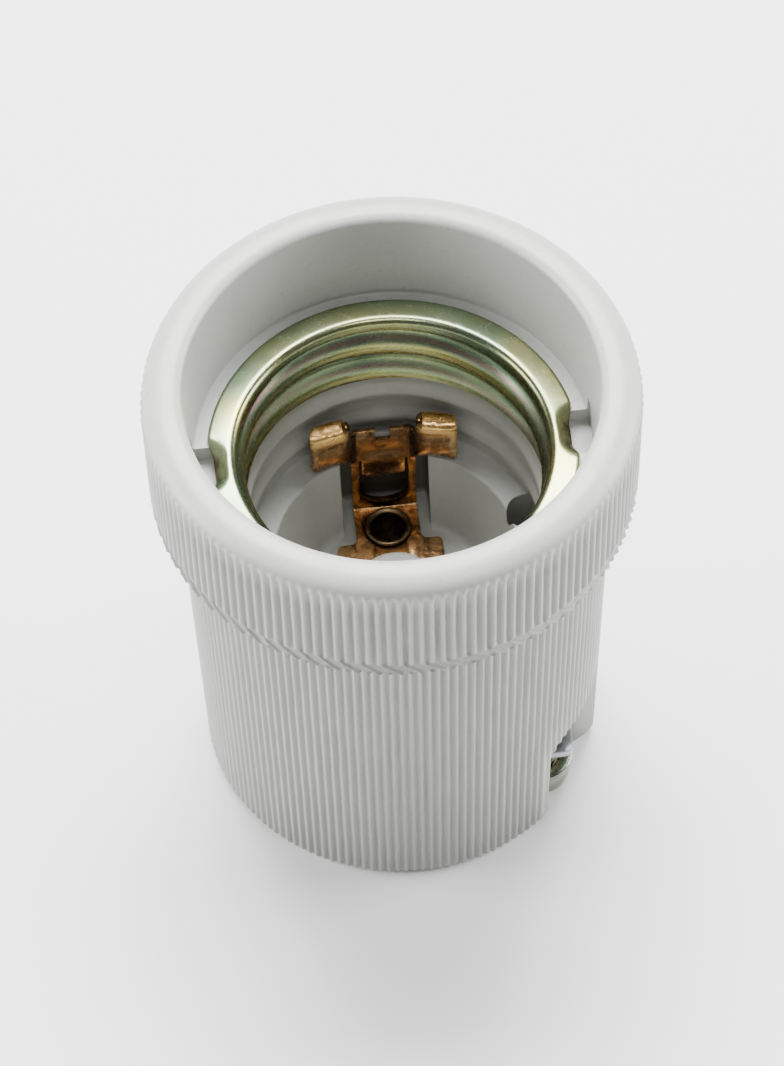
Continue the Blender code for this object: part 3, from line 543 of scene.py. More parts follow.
class Nodes:
    """A material's node tree, with short calls to add and join its nodes."""

    def __init__(self, name):
        self.material = bpy.data.materials.new(name)
        self.material.use_nodes = True
        self.tree = self.material.node_tree
        self.shader = self.tree.nodes["Principled BSDF"]

    def add(self, kind, **values):
        node = self.tree.nodes.new(kind)
        for key, value in values.items():
            setattr(node, key, value)
        return node

    def feed(self, socket, value):
        """Joins another node's output to a socket, or sets a colour or a number on it."""
        if hasattr(value, "is_linked"):
            self.tree.links.new(value, socket)
        elif hasattr(value, "__len__"):
            socket.default_value = (*value, 1.0)
        else:
            socket.default_value = value

    def surface(self, socket_name, value):
        self.feed(self.shader.inputs[socket_name], value)

    def attribute(self, name):
        return self.add("ShaderNodeAttribute", attribute_name=name).outputs["Fac"]

    def noise(self, scale, detail=3.0, roughness=0.55, stretch=(1.0, 1.0, 1.0), distortion=0.0):
        mapping = self.add("ShaderNodeMapping")
        mapping.inputs["Scale"].default_value = stretch
        self.feed(mapping.inputs["Vector"], self.add("ShaderNodeTexCoord").outputs["Object"])
        texture = self.add("ShaderNodeTexNoise")
        self.feed(texture.inputs["Scale"], scale)
        self.feed(texture.inputs["Detail"], detail)
        self.feed(texture.inputs["Roughness"], roughness)
        self.feed(texture.inputs["Distortion"], distortion)
        self.feed(texture.inputs["Vector"], mapping.outputs["Vector"])
        return texture.outputs["Fac"]

    def ramp(self, source, stops):
        """Colours by the source's value, each stop a place and its colour."""
        node = self.add("ShaderNodeValToRGB")
        elements = node.color_ramp.elements
        while len(elements) < len(stops):
            elements.new(0.5)
        for element, (place, colour) in zip(elements, stops):
            element.position = place
            element.color = (*colour, 1.0)
        self.feed(node.inputs["Fac"], source)
        return node.outputs["Color"]

    def fade(self, source, start, end, low, high):
        """Grey from low, where the source is below start, to high, where it is above end."""
        return self.ramp(source, [(start, (low, low, low)), (end, (high, high, high))])

    def mix(self, share, first, second):
        node = self.add("ShaderNodeMix", data_type='RGBA')
        self.feed(node.inputs["Factor"], share)
        self.feed(node.inputs[MIX_FIRST_COLOUR], first)
        self.feed(node.inputs[MIX_SECOND_COLOUR], second)
        return node.outputs[MIX_COLOUR_RESULT]

    def math(self, operation, first, second):
        node = self.add("ShaderNodeMath", operation=operation)
        for socket, value in zip(node.inputs, (first, second)):
            self.feed(socket, value)
        return node.outputs[0]

    def bump(self, height, strength, distance):
        node = self.add("ShaderNodeBump")
        self.feed(node.inputs["Strength"], strength)
        self.feed(node.inputs["Distance"], distance)
        self.feed(node.inputs["Height"], height)
        self.surface("Normal", node.outputs["Normal"])


def porcelain_material(colour, shade_and_speck_colour, recess_shade_colour):
    """Pressed unglazed porcelain: a satin white with painted shade in the grooves, the channels, the socket
    and on the wall behind the side contact, dark specks and a fine grain.
    """
    nodes = Nodes("pressed_porcelain")
    cloud = nodes.noise(scale=260.0, detail=4.0)
    mottle = nodes.noise(scale=2400.0, roughness=0.65)
    specks = nodes.noise(scale=1500.0, detail=2.0, roughness=0.5)
    grain = nodes.noise(scale=5200.0, roughness=0.7)
    skin = nodes.ramp(cloud, [(0.30, shade(colour, 0.96)), (0.70, colour)])
    skin = nodes.mix(nodes.fade(mottle, start=0.35, end=0.65, low=0.0, high=0.10), skin, shade_and_speck_colour)
    # Painted shade: darker in the grooves, the channels and the socket, and faintly over the skin below the
    # rim
    shaded_skin = nodes.mix(nodes.attribute("porcelain_shade"), skin, shade_and_speck_colour)
    speck = nodes.fade(specks, start=0.68, end=0.78, low=0.0, high=0.35)
    specked_and_shaded = nodes.mix(speck, shaded_skin, shade(shade_and_speck_colour, 0.9))
    # Painted shade on the slot's wall behind the side contact
    nodes.surface("Base Color", nodes.mix(nodes.attribute("recess_shade"), specked_and_shaded, recess_shade_colour))
    nodes.surface("Roughness", nodes.fade(cloud, start=0.3, end=0.7, low=0.36, high=0.48))
    nodes.surface("Coat Weight", 0.12)
    nodes.surface("Coat Roughness", 0.25)
    nodes.bump(grain, strength=0.22, distance=0.00006)
    return nodes.material


def plated_material(name, drift_tints, patch_tint, stain_tint, stake_shade_tint, thread_tint_and_shade_share):
    """Zinc plating whose tint drifts, and by its share of thread tints follows a thread's crests and grooves,
    with painted shade in the grooves.
    """
    tint_places = (0.26, 0.38, 0.52, 0.62, 0.76)
    nodes = Nodes(name)
    drift = nodes.noise(scale=110.0, detail=1.0, roughness=0.4, stretch=(1.0, 1.0, 2.0), distortion=0.5)
    patch = nodes.noise(scale=150.0, detail=1.0, roughness=0.4, stretch=(1.0, 1.0, 1.6), distortion=0.4)
    stain = nodes.noise(scale=70.0, detail=1.0, roughness=0.4, distortion=0.3)
    fine = nodes.noise(scale=900.0, detail=4.0, roughness=0.65, stretch=(1.0, 1.0, 6.0))
    # Crests take the yellow and green tints, grooves the dark one as painted shade
    banded = nodes.math('MULTIPLY', nodes.attribute("thread_tint_and_shade"), thread_tint_and_shade_share)
    drifting = nodes.math('MULTIPLY', drift, 1.0 - thread_tint_and_shade_share)
    colour = nodes.ramp(nodes.math('ADD', banded, drifting), list(zip(tint_places, drift_tints)))
    colour = nodes.mix(nodes.fade(patch, start=0.42, end=0.72, low=0.0, high=0.5), colour, patch_tint)
    colour = nodes.mix(nodes.fade(stain, start=0.46, end=0.70, low=0.0, high=0.6), colour, stain_tint)
    # Painted shade on the flange's pressed-down stakes
    nodes.surface("Base Color", nodes.mix(nodes.attribute("stake_shade"), colour, stake_shade_tint))
    nodes.surface("Roughness", nodes.fade(fine, start=0.3, end=0.7, low=0.23, high=0.29))
    nodes.surface("Metallic", 1.0)
    nodes.bump(fine, strength=0.05, distance=0.00003)
    return nodes.material


def copper_material(copper, polished, tarnish_and_shade):
    """Bright copper strip with brown tarnish, the drawn streaks of the sheet, and painted shade at the necks,
    low on the stem and on the tongue.
    """
    browned = tuple(0.45 * bright + 0.55 * dull for bright, dull in zip(copper, tarnish_and_shade))
    nodes = Nodes("copper_strip")
    stain = nodes.noise(scale=460.0, detail=4.0, roughness=0.6, stretch=(1.0, 1.0, 0.8), distortion=1.4)
    streak = nodes.noise(scale=1300.0, roughness=0.6, stretch=(3.0, 3.0, 0.5))
    dents = nodes.noise(scale=520.0, detail=2.0, roughness=0.5, distortion=0.8)
    colour = nodes.ramp(stain, [(0.36, copper), (0.50, browned), (0.68, tarnish_and_shade)])
    streaked = nodes.fade(streak, start=0.52, end=0.74, low=0.0, high=0.45)
    colour = nodes.mix(streaked, colour, shade(copper, 1.15))
    colour = nodes.mix(nodes.attribute("polished"), colour, polished)
    # Tarnish and painted shade, by the marks on the strip's points
    nodes.surface("Base Color", nodes.mix(nodes.attribute("tarnish_and_shade"), colour, shade(tarnish_and_shade, 0.7)))
    nodes.surface("Roughness", nodes.fade(stain, start=0.35, end=0.75, low=0.17, high=0.36))
    nodes.surface("Metallic", 1.0)
    nodes.bump(dents, strength=0.35, distance=0.00020)
    return nodes.material


def turned_metal_material(name, colour, roughness):
    """Bright turned or stamped metal with fine marks and slightly dull places."""
    nodes = Nodes(name)
    marks = nodes.noise(scale=2600.0, roughness=0.6, stretch=(1.0, 1.0, 4.0))
    dull = nodes.noise(scale=500.0)
    smoothest, roughest = roughness - 0.06, roughness + 0.1
    nodes.surface("Base Color", nodes.ramp(dull, [(0.40, colour), (0.75, shade(colour, 0.62))]))
    nodes.surface("Roughness", nodes.fade(marks, start=0.3, end=0.7, low=smoothest, high=roughest))
    nodes.surface("Metallic", 1.0)
    nodes.bump(marks, strength=0.2, distance=0.00003)
    return nodes.material


def floor_material(colour):
    """A matt pale floor with the faintest clouds."""
    nodes = Nodes("pale_floor")
    cloud = nodes.noise(scale=6.0)
    nodes.surface("Base Color", nodes.ramp(cloud, [(0.3, colour), (0.7, shade(colour, 0.99))]))
    nodes.surface("Roughness", 0.8)
    return nodes.material


# Porcelain body

COLUMNS_PER_RIB = 8
BORE_SEGMENTS = 192
CUT_MARGIN = 0.0020
BURR_TOP = 0.0016
COLLAR_SLACK = 0.00004
RIB_RUNOUT = 0.0011
GUIDE_RIDGE = 0.0005
GUIDE_RIDGE_PITCH = 0.0036
SLOT_HALF_WIDTH = 0.00385
SLOT_BACK_CLEAR = 0.0014
TIP_POCKET_RADIUS = 0.0021
SCREW_TRAVEL = 0.0030
TIP_ROOM = 0.0006
TIP_POCKET_TOP = SCREW_HIGH.z + SCREW_TRAVEL + TIP_ROOM
MOUNTING_HOLE_RADIUS = 0.00175
MOUNTING_HOLE_SETBACK = 0.0008
MOUNTING_HOLE_ANGLE = math.radians(13.6)
STAKE_POCKET_REACH = 0.0013
STAKE_POCKET_HALF_WIDTH = 0.0022
STAKE_POCKET_DEPTH = 0.0016


def collar_bottom(sizes):
    return HEIGHT - sizes.collar_height


def rim_start(sizes):
    return HEIGHT - sizes.rim_drop


def wall_radius(sizes, share):
    """Radius over the ribs, from the base at nothing to the neck under the collar at one."""
    return sizes.base_radius + (sizes.neck_radius - sizes.base_radius) * share


def body_levels(sizes):
    """Heights of the outside, each with its radius over the ribs and its share of rib depth."""
    base_steps = 4
    wall_rows = 12
    burr_rows = 15
    collar_rows = 5
    rim_steps = 12
    flare = ((0.0007, 0.0007), (0.00035, 0.0016))
    flare_ribs = 0.9
    low = collar_bottom(sizes)
    wall_top = low - SHOULDER_HEIGHT
    burr_end = low + BURR_TOP
    rim = rim_start(sizes)
    levels = []
    for step in range(base_steps + 1):
        angle = QUARTER_TURN * step / base_steps
        levels.append((BASE_ROUNDING * (1.0 - math.cos(angle)),
                       sizes.base_radius - BASE_ROUNDING * (1.0 - math.sin(angle)),
                       sizes.base_rib_share * smoothstep(0, base_steps, step)))
    for row in range(1, wall_rows + 1):
        share = row / wall_rows
        height = BASE_ROUNDING + (wall_top - BASE_ROUNDING) * share
        ribs = sizes.base_rib_share + (1.0 - sizes.base_rib_share) * share
        levels.append((height, wall_radius(sizes, share), ribs))
    for below_collar, beyond_neck in flare:
        levels.append((low - below_collar, sizes.neck_radius + beyond_neck, flare_ribs))
    heights = [low + BURR_TOP * row / burr_rows for row in range(burr_rows + 1)]
    heights += spaced(burr_end, rim, collar_rows)[1:]
    levels += [(height, COLLAR_RADIUS - COLLAR_SLACK, 1.0) for height in heights]
    for step in range(1, rim_steps + 1):
        angle = QUARTER_TURN * step / rim_steps
        radius = COLLAR_RADIUS - sizes.rim_width * (1.0 - math.cos(angle))
        height = rim + sizes.rim_drop * math.sin(angle)
        levels.append((height, radius, 1.0 - smoothstep(rim, rim + RIB_RUNOUT, height)))
    return levels


def rib_profile(phase):
    """Depth share below the crest: broad round ribs with narrower grooves between them."""
    crest_breadth = 1.1
    return (0.5 - 0.5 * math.cos(phase)) ** crest_breadth


def burr_stroke(rib_phase, above):
    """The pressed burr along the collar's lower edge: slanting strokes, one to every two ribs."""
    strokes_per_rib = 0.5
    slant_height = 0.0015
    stroke_width = 0.65
    turn = (strokes_per_rib * rib_phase + FULL_TURN * above / slant_height) % FULL_TURN
    return bell(turn - math.pi, stroke_width)


def mouth_closeness(angle, height):
    """One at a channel's mouth in the outside, falling to nothing round it."""
    mouth_start, mouth_end = -50.0, -14.0
    start_blend, end_blend = 3.5, 4.0
    close_above, far_above = 0.0003, 0.0016
    degrees = (math.degrees(angle) + 90.0) % 180.0 - 90.0
    past_start = smoothstep(mouth_start - start_blend, mouth_start, degrees)
    before_end = smoothstep(mouth_end + end_blend, mouth_end, degrees)
    above = smoothstep(CHAMBER_HEIGHT + far_above, CHAMBER_HEIGHT + close_above, height)
    return past_start * before_end * above


def body_blank(sizes):
    """The ribbed outside as a full solid, its ribs slightly uneven and its collar's edge burred."""
    round_scale = 9.0
    upright_scale = 150.0
    fine_scale, burr_scale, coarse_scale = 2.3, 1.7, 0.4
    rib_wander, rib_unevenness, burr_wander = 0.22, 0.20, 0.9
    mouth_fade = 0.7
    softness, evenness = 0.00003, 0.6
    burr_start, burr_full, burr_fade = -0.0001, 0.0002, 0.6 * BURR_TOP
    low = collar_bottom(sizes)
    columns = COLUMNS_PER_RIB * sizes.rib_count
    rings = []
    for height, radius, depth in body_levels(sizes):
        above = height - low
        burr = smoothstep(burr_start, burr_full, above) * smoothstep(BURR_TOP, burr_fade, above)
        ring = []
        for index in range(columns):
            angle = FULL_TURN * index / columns
            phase = FULL_TURN * index / COLUMNS_PER_RIB
            place = Vector((*polar(round_scale, angle), upright_scale * height))
            groove = rib_profile(phase + rib_wander * noise.noise(place))
            uneven = 1.0 + rib_unevenness * noise.noise(fine_scale * place)
            kept = 1.0 - mouth_fade * mouth_closeness(angle, height)
            ribs = sizes.rib_depth * groove * uneven * depth * kept
            ragged = burr_wander * noise.noise(burr_scale * place)
            gap = sizes.strand_depth * (1.0 - burr_stroke(phase + ragged, above)) * uneven
            soft = softness * (evenness + noise.noise(coarse_scale * place)) * depth
            reach = radius - ribs + (ribs - gap) * burr - soft
            ring.append((*polar(min(COLLAR_RADIUS, reach), angle), height))
        rings.append(ring)
    return stacked_solid("porcelain_body_fine", rings, smooth_angle=60.0)


def guide_wall(edge):
    """The ridged wall between the shell's seat and the ledge, from the top down."""
    steps = 44
    ridge_fade = 0.0008
    top = SHELL_SEAT - edge
    bottom = LEDGE + edge
    points = []
    for step in range(1, steps):
        height = top - (top - bottom) * step / steps
        wave = (0.5 - 0.5 * math.cos(FULL_TURN * (top - height) / GUIDE_RIDGE_PITCH)) ** 2
        ridge = GUIDE_RIDGE * wave * smoothstep(0.0, ridge_fade, height - bottom)
        points.append((GUIDE_RADIUS - ridge, height))
    return points


def socket_profile(sizes):
    """The hollow from the top down: mouth, shell bore, guide wall, contact pit and boss."""
    edge = 0.00025
    bore_edge = 0.5 * edge
    pit_rounding = 3.0 * edge
    boss_foot = 2.0 * edge
    boss_rounding = 2.4 * edge
    mouth = [(MOUTH_RADIUS + sizes.lip_width * (1.0 + x), HEIGHT - sizes.lip_drop * (1.0 - y))
             for x, y in arc_points((0.0, 0.0), 1.0, 90.0, 180.0, 10)]
    profile = [(mouth[0][0], HEIGHT + CUT_MARGIN)] + mouth
    profile += arc_points((MOUTH_RADIUS - MOUTH_TAPER - edge, FLANGE_SEAT + edge), edge, 0.0, -90.0, 4)
    profile += arc_points((SHELL_BORE_RADIUS + bore_edge, FLANGE_SEAT - bore_edge), bore_edge, 90.0, 180.0, 3)
    profile += [(SHELL_BORE_RADIUS, SHELL_SEAT)]
    profile += arc_points((GUIDE_RADIUS + edge, SHELL_SEAT - edge), edge, 90.0, 180.0, 4)
    profile += guide_wall(edge)
    profile += arc_points((GUIDE_RADIUS - edge, LEDGE + edge), edge, 0.0, -90.0, 4)
    profile += arc_points((PIT_TOP_RADIUS + edge, LEDGE - edge), edge, 90.0, 170.0, 4)
    profile += arc_points(
        (PIT_FLOOR_RADIUS - pit_rounding, PIT_FLOOR + pit_rounding), pit_rounding, -10.0, -90.0, 6)
    profile += arc_points((BOSS_RADIUS + boss_foot, PIT_FLOOR + boss_foot), boss_foot, -90.0, -180.0, 4)
    profile += arc_points((BOSS_RADIUS - boss_rounding, PIT_FLOOR + BOSS_HEIGHT - boss_rounding),
                          boss_rounding, 0.0, 90.0, 5)
    return profile


def channel_outline(outer_wall):
    """Plan of one terminal channel, from its closed end to its splayed mouth."""
    end = 0.0038
    corner = 0.0018
    splay_margin = 0.0005
    splay_angle = math.radians(30.0)
    bend_half, bend_middle, bend_end = 0.0004, 0.00006, 0.00023
    reach = COLLAR_RADIUS + CUT_MARGIN
    neck = TERMINAL_X - WASHER_RADIUS - RUNNING_GAP
    splay_start = TERMINAL_X + WASHER_RADIUS + splay_margin
    splay = (reach - splay_start) * math.tan(splay_angle)
    points = [(-end, -CHANNEL_INNER_WALL)]
    points += arc_points((-end + corner, -outer_wall + corner), corner, 180.0, 270.0, 6)
    points += [(reach, -outer_wall), (reach, -MOUTH_WALL + splay)]
    points += [(splay_start + bend_half, -MOUTH_WALL + bend_end), (splay_start, -MOUTH_WALL + bend_middle),
               (splay_start - bend_half, -MOUTH_WALL)]
    points += [(neck, -MOUTH_WALL), (neck - MOUTH_STEP, -CHANNEL_INNER_WALL)]
    return points


def channel_cutter(name, turned_round):
    """The channel, its outer wall rounded outward at the foot and inward under the ceiling."""
    foot = 0.0020
    crown = 0.0018
    wall = CHANNEL_OUTER_WALL
    levels = [(wall + foot, -CUT_MARGIN)]
    levels += arc_points((wall + foot, foot), foot, -90.0, -180.0, 8)
    levels += arc_points((wall - crown, CHAMBER_HEIGHT - crown), crown, 0.0, 90.0, 8)
    rings = [[(x, y, height) for x, y in channel_outline(outer)] for outer, height in levels]
    cutter = stacked_solid(name, rings)
    half_turn(cutter, turned_round)
    return cutter


def slot_cutter(name, reach, turned_round):
    """The slot of a contact strip, in rows, so that the painted shade on the wall behind the strip can be
    marked.
    """
    rows = 10
    half = SLOT_HALF_WIDTH
    corner = 0.0004
    near_margin = 0.0006
    stem_line = 0.0002
    hidden = 0.0024
    shade_edge = 0.0004
    near = RIVET_OFFSET - near_margin
    outline = [(-half, near), (half, near), (half, STEM_OFFSET - stem_line), (half, STEM_OFFSET)]
    outline += arc_points((half - corner, reach - corner), corner, 0.0, 90.0, 4)
    outline += [(x, reach) for x in (hidden + shade_edge, hidden, -hidden, -hidden - shade_edge)]
    outline += arc_points((corner - half, reach - corner), corner, 90.0, 180.0, 4)
    outline += [(-half, STEM_OFFSET), (-half, STEM_OFFSET - stem_line)]
    levels = spaced(PIT_FLOOR, LEDGE, rows) + [LEDGE + CUT_MARGIN]
    cutter = stacked_solid(name, [[(x, y, height) for x, y in outline] for height in levels])
    half_turn(cutter, turned_round)
    return cutter


def terminal_cutters(label, turned_round):
    """What is cut out of the body for one contact, its terminal, a mounting hole and a stake."""
    sign = 1.0 if turned_round else -1.0
    slot_back = STEM_OFFSET + SLOT_BACK_CLEAR if turned_round else -LEAF_LOW.y + SEAT_GAP
    below_ceiling = CHAMBER_HEIGHT - CUT_MARGIN
    hole_angle = MOUNTING_HOLE_ANGLE + (math.pi if turned_round else 0.0)
    near, far = sorted((sign * GUIDE_RADIUS, sign * (FLANGE_RADIUS + STAKE_POCKET_REACH)))
    # The slot is drawn where the side contact stands, the channel where the centre terminal does
    return [
        slot_cutter(label + "_slot", slot_back, not turned_round),
        channel_cutter(label + "_channel", turned_round),
        round_bar(label + "_rivet_hole", RIVET_HOLE_RADIUS, below_ceiling, PIT_FLOOR + CUT_MARGIN,
                  (0.0, sign * RIVET_OFFSET)),
        round_bar(label + "_tip_pocket", TIP_POCKET_RADIUS, below_ceiling, TIP_POCKET_TOP,
                  (-sign * TERMINAL_X, sign * TERMINAL_Y)),
        round_bar(label + "_mounting_hole", MOUNTING_HOLE_RADIUS, -CUT_MARGIN, LEDGE + CUT_MARGIN,
                  polar(GUIDE_RADIUS - MOUNTING_HOLE_SETBACK, hole_angle)),
        prism(label + "_stake_pocket",
              box_outline(near, -STAKE_POCKET_HALF_WIDTH, far, STAKE_POCKET_HALF_WIDTH),
              FLANGE_SEAT - STAKE_POCKET_DEPTH, FLANGE_SEAT + STAKE_POCKET_DEPTH),
    ]


def flatten_base(body):
    """Shades the base face flat, so that the rounding beside it doesn't bend its shading."""
    straight_down = -0.999
    lowest = 0.0001
    for face in body.data.polygons:
        if face.normal.z < straight_down and face.center.z < lowest:
            face.use_smooth = False


def painted_shade_share(point, sizes):
    """Painted shade on the skin and in the grooves, and more of it in the channels and the socket; it fades
    out on the rim's top.
    """
    hair = 0.0001
    skin_radius = 0.0171
    base_edge = 0.0008
    groove_reach = 1.6
    rim_unshaded_from, rim_unshaded_to = 0.0008, 0.0018
    channel_shade, socket_shade = 0.75, 0.35
    collar_shade, wall_shade = (0.45, 0.58), (0.55, 0.18)
    low = collar_bottom(sizes)
    rim = rim_start(sizes)
    reach = math.hypot(point.x, point.y)
    on_collar = point.z > low - 2.0 * hair
    skin_shade, groove_shade = collar_shade if on_collar else wall_shade
    share = min(1.0, max(0.0, point.z / (low - SHOULDER_HEIGHT)))
    crest = COLLAR_RADIUS if on_collar else wall_radius(sizes, share)
    inner_limit = crest - groove_reach * sizes.rib_depth
    depth = min(1.0, max(0.0, (crest - reach) / sizes.rib_depth))
    fading = 1.0 - smoothstep(rim + rim_unshaded_from, rim + rim_unshaded_to, point.z)
    # The painted shade on the skin fades out on the rim, which stays bright
    skin = skin_shade * fading if reach > skin_radius else 0.0
    groove = groove_shade * depth if reach > inner_limit and base_edge < point.z < rim else 0.0
    in_channel = reach < inner_limit and hair < point.z < CHAMBER_HEIGHT + hair
    in_socket = reach < SHELL_BORE_RADIUS and CHAMBER_HEIGHT + hair < point.z < SHELL_SEAT + hair
    return max(skin + groove, channel_shade if in_channel else 0.0, socket_shade if in_socket else 0.0)


def recess_shade_share(point):
    """Painted shade on the slot's wall behind the side contact, full behind the strip itself."""
    wall_from, wall_to = -0.0003, 0.0016
    wall_half_width = 0.0039
    strip_half_width = 0.0026
    beside_strip = 0.72
    above_floor, below_ledge = 0.0001, 0.0004
    behind = STEM_OFFSET + wall_from < point.y < STEM_OFFSET + wall_to and abs(point.x) < wall_half_width
    if not behind or not PIT_FLOOR + above_floor < point.z < LEDGE - below_ledge:
        return 0.0
    return 1.0 if abs(point.x) < strip_half_width else beside_strip


def make_body_piece(sizes, material):
    """One pressed piece: ribs, collar, socket, contact slots, terminal channels and holes."""
    body = body_blank(sizes)
    socket = turned_bar("socket", socket_profile(sizes), BORE_SEGMENTS)
    cutters = [socket] + terminal_cutters("centre", False) + terminal_cutters("side", True)
    cut_away(body, cutters, smooth_angle=40.0)
    flatten_base(body)
    mark(body, "porcelain_shade", lambda point: painted_shade_share(point, sizes))
    mark(body, "recess_shade", recess_shade_share)
    dress(body, "porcelain_body", "root", material)


# Screw shell

SHELL_SEGMENTS = 288
ROWS_PER_PITCH = 20
FLANGE_ROLL = 0.0006
THREAD_RUNOUT = 0.0007
NECK_TOP = FLANGE_LOW - FLANGE_ROLL
STAKE_HALF_ANGLE = math.radians(11.0)


def shell_neck_radius(sizes):
    """Radius of the sheet's middle where the thread has run out under the flange."""
    return sizes.minor_radius + 0.5 * (sizes.thread_depth + SHEET_THICKNESS)


def stake_press(angle):
    """One over the middle of a stake, falling to nothing beside it."""
    full_press = 0.30 * STAKE_HALF_ANGLE
    from_stake = abs((angle + QUARTER_TURN) % math.pi - QUARTER_TURN)
    return 1.0 - smoothstep(full_press, STAKE_HALF_ANGLE, from_stake)


def thread_line(sizes, angle):
    """The middle of the rolled wall at one angle, from its lower edge to the round neck."""
    low = SHELL_LOW.z
    half_sheet = 0.5 * SHEET_THICKNESS
    neck = shell_neck_radius(sizes)
    rows = round(ROWS_PER_PITCH * (NECK_TOP - low) / sizes.thread_pitch)
    line = []
    for height in spaced(low, NECK_TOP, rows):
        wave = math.cos(FULL_TURN * height / sizes.thread_pitch - angle)
        fade = smoothstep(0.0, THREAD_RUNOUT, NECK_TOP - height)
        radius = sizes.minor_radius + 0.5 * sizes.thread_depth * (1.0 - wave)
        radius = neck - half_sheet + (radius - neck + half_sheet) * fade
        line.append((radius + half_sheet, height))
    return line


def flange_line(sizes, angle):
    """The middle of the roll and the flange, whose edge the stakes cut back and press down."""
    steps = 10
    bite_share = 0.45
    edge_room = 0.4
    stiffness = 0.4
    wave_height = 0.00003
    wave_scale, wave_place = 2.2, 7.0
    half_sheet = 0.5 * SHEET_THICKNESS
    start = shell_neck_radius(sizes) + FLANGE_ROLL
    roll = arc_points((start, NECK_TOP), FLANGE_ROLL, 180.0, 90.0, 7)
    line = [(radius, height + half_sheet) for radius, height in roll[1:]]
    press = stake_press(angle)
    edge = FLANGE_RADIUS - bite_share * sizes.stake_depth * press
    waviness = wave_height * (1.0 + noise.noise((*polar(wave_scale, angle), wave_place)))
    for step in range(1, steps + 1):
        radius = start + (edge - edge_room * SHEET_THICKNESS - start) * step / steps
        bent = max(0.0, 1.0 - (edge - radius) / sizes.stake_depth)
        bend = bent * bent / (stiffness + (1.0 - stiffness) * bent)
        sag = sizes.stake_drop * press * bend + waviness * step / steps
        line.append((radius, FLANGE_LOW + half_sheet - sag))
    return line


def sheet_section(middle):
    """A closed section of the shell's sheet round its middle line, its outer end blunted."""
    tip_reach, tip_half = 0.35 * SHEET_THICKNESS, 0.2 * SHEET_THICKNESS
    inner = []
    outer = []
    for index, (radius, height) in enumerate(middle):
        before_radius, before_height = middle[max(0, index - 1)]
        after_radius, after_height = middle[min(len(middle) - 1, index + 1)]
        along = Vector((after_radius - before_radius, after_height - before_height)).normalized()
        side = 0.5 * SHEET_THICKNESS * Vector((-along.y, along.x))
        inner.append((radius + side.x, height + side.y))
        outer.append((radius - side.x, height - side.y))
    radius, height = middle[-1]
    tip = [(radius + tip_reach, height + tip_half), (radius + tip_reach, height - tip_half)]
    return inner + tip + outer[::-1]


def thread_tint_and_shade_share(point, sizes):
    """Place between the thread's crest and groove, where the groove's dark tint is painted shade, and one
    even value on the flange.
    """
    flange_band = 0.25
    phase = FULL_TURN * point.z / sizes.thread_pitch - math.atan2(point.y, point.x)
    on_thread = smoothstep(0.0, THREAD_RUNOUT, NECK_TOP - point.z)
    return flange_band + (0.5 - 0.5 * math.cos(phase) - flange_band) * on_thread


def stake_shade_share(point, sizes):
    """Painted shade where the staking punch has pressed the flange down, darker the further the flange sinks.
    """
    most_shaded = 0.85
    sunk_from, sunk_range = 0.00012, 0.0003
    hair = 0.0001
    flange_start = shell_neck_radius(sizes) + FLANGE_ROLL + hair
    if math.hypot(point.x, point.y) <= flange_start:
        return 0.0
    sunk = (FLANGE_LOW - sunk_from - point.z) / sunk_range
    return most_shaded * min(1.0, max(0.0, sunk))


def make_shell_piece(sizes, material):
    """The rolled thread with its flange, staked down at two places."""
    columns = []
    for index in range(SHELL_SEGMENTS):
        angle = FULL_TURN * index / SHELL_SEGMENTS
        section = sheet_section(thread_line(sizes, angle) + flange_line(sizes, angle))
        columns.append([(*polar(radius, angle), min(height, FLANGE_TOP)) for radius, height in section])
    shell = ring_solid("screw_shell_fine", columns, smooth_angle=50.0)
    mark(shell, "stake_shade", lambda point: stake_shade_share(point, sizes))
    mark(shell, "thread_tint_and_shade", lambda point: thread_tint_and_shade_share(point, sizes))
    dress(shell, "screw_shell", "root", material)


# Side contact

STEM_RUN = 0.020
STEM_TOP_ABOVE_LEDGE = 0.0040
NOTCH_DEPTH = 0.0014
PAD_ABOVE_LEDGE = 2.0 * SEAT_GAP
PAD_SPREAD = 0.0001
PAD_CURL_ALLOWANCE = 0.0006
PAD_CURL_LENGTH = 0.0017
PAD_CURL_RADIUS = 0.0008
PAD_CURL_ANGLE = math.radians(76.0)
PAD_STEP = 0.0006
PAD_STEP_LENGTH = 0.0012
PAD_WRAP = 60.0
PAD_DOME = 0.00036
NECK_WIDTH = 0.0006
LUG_ANGLE = 40.0
LUG_LENGTH = 0.0036
LUG_SPREAD = 0.0018
LUG_FILLET = 0.0006
WINDOW_DROP = 0.0042
WINDOW_LENGTH = 0.0061
WINDOW_HALF_WIDTH = 0.0021
WINDOW_ROUNDNESS = 0.77
TONGUE_SLIT = 0.00022
TONGUE_LENGTH = 0.0031
TONGUE_SET = 0.0005
SCALLOPS = 14
SCALLOP_DEPTH = 0.0001


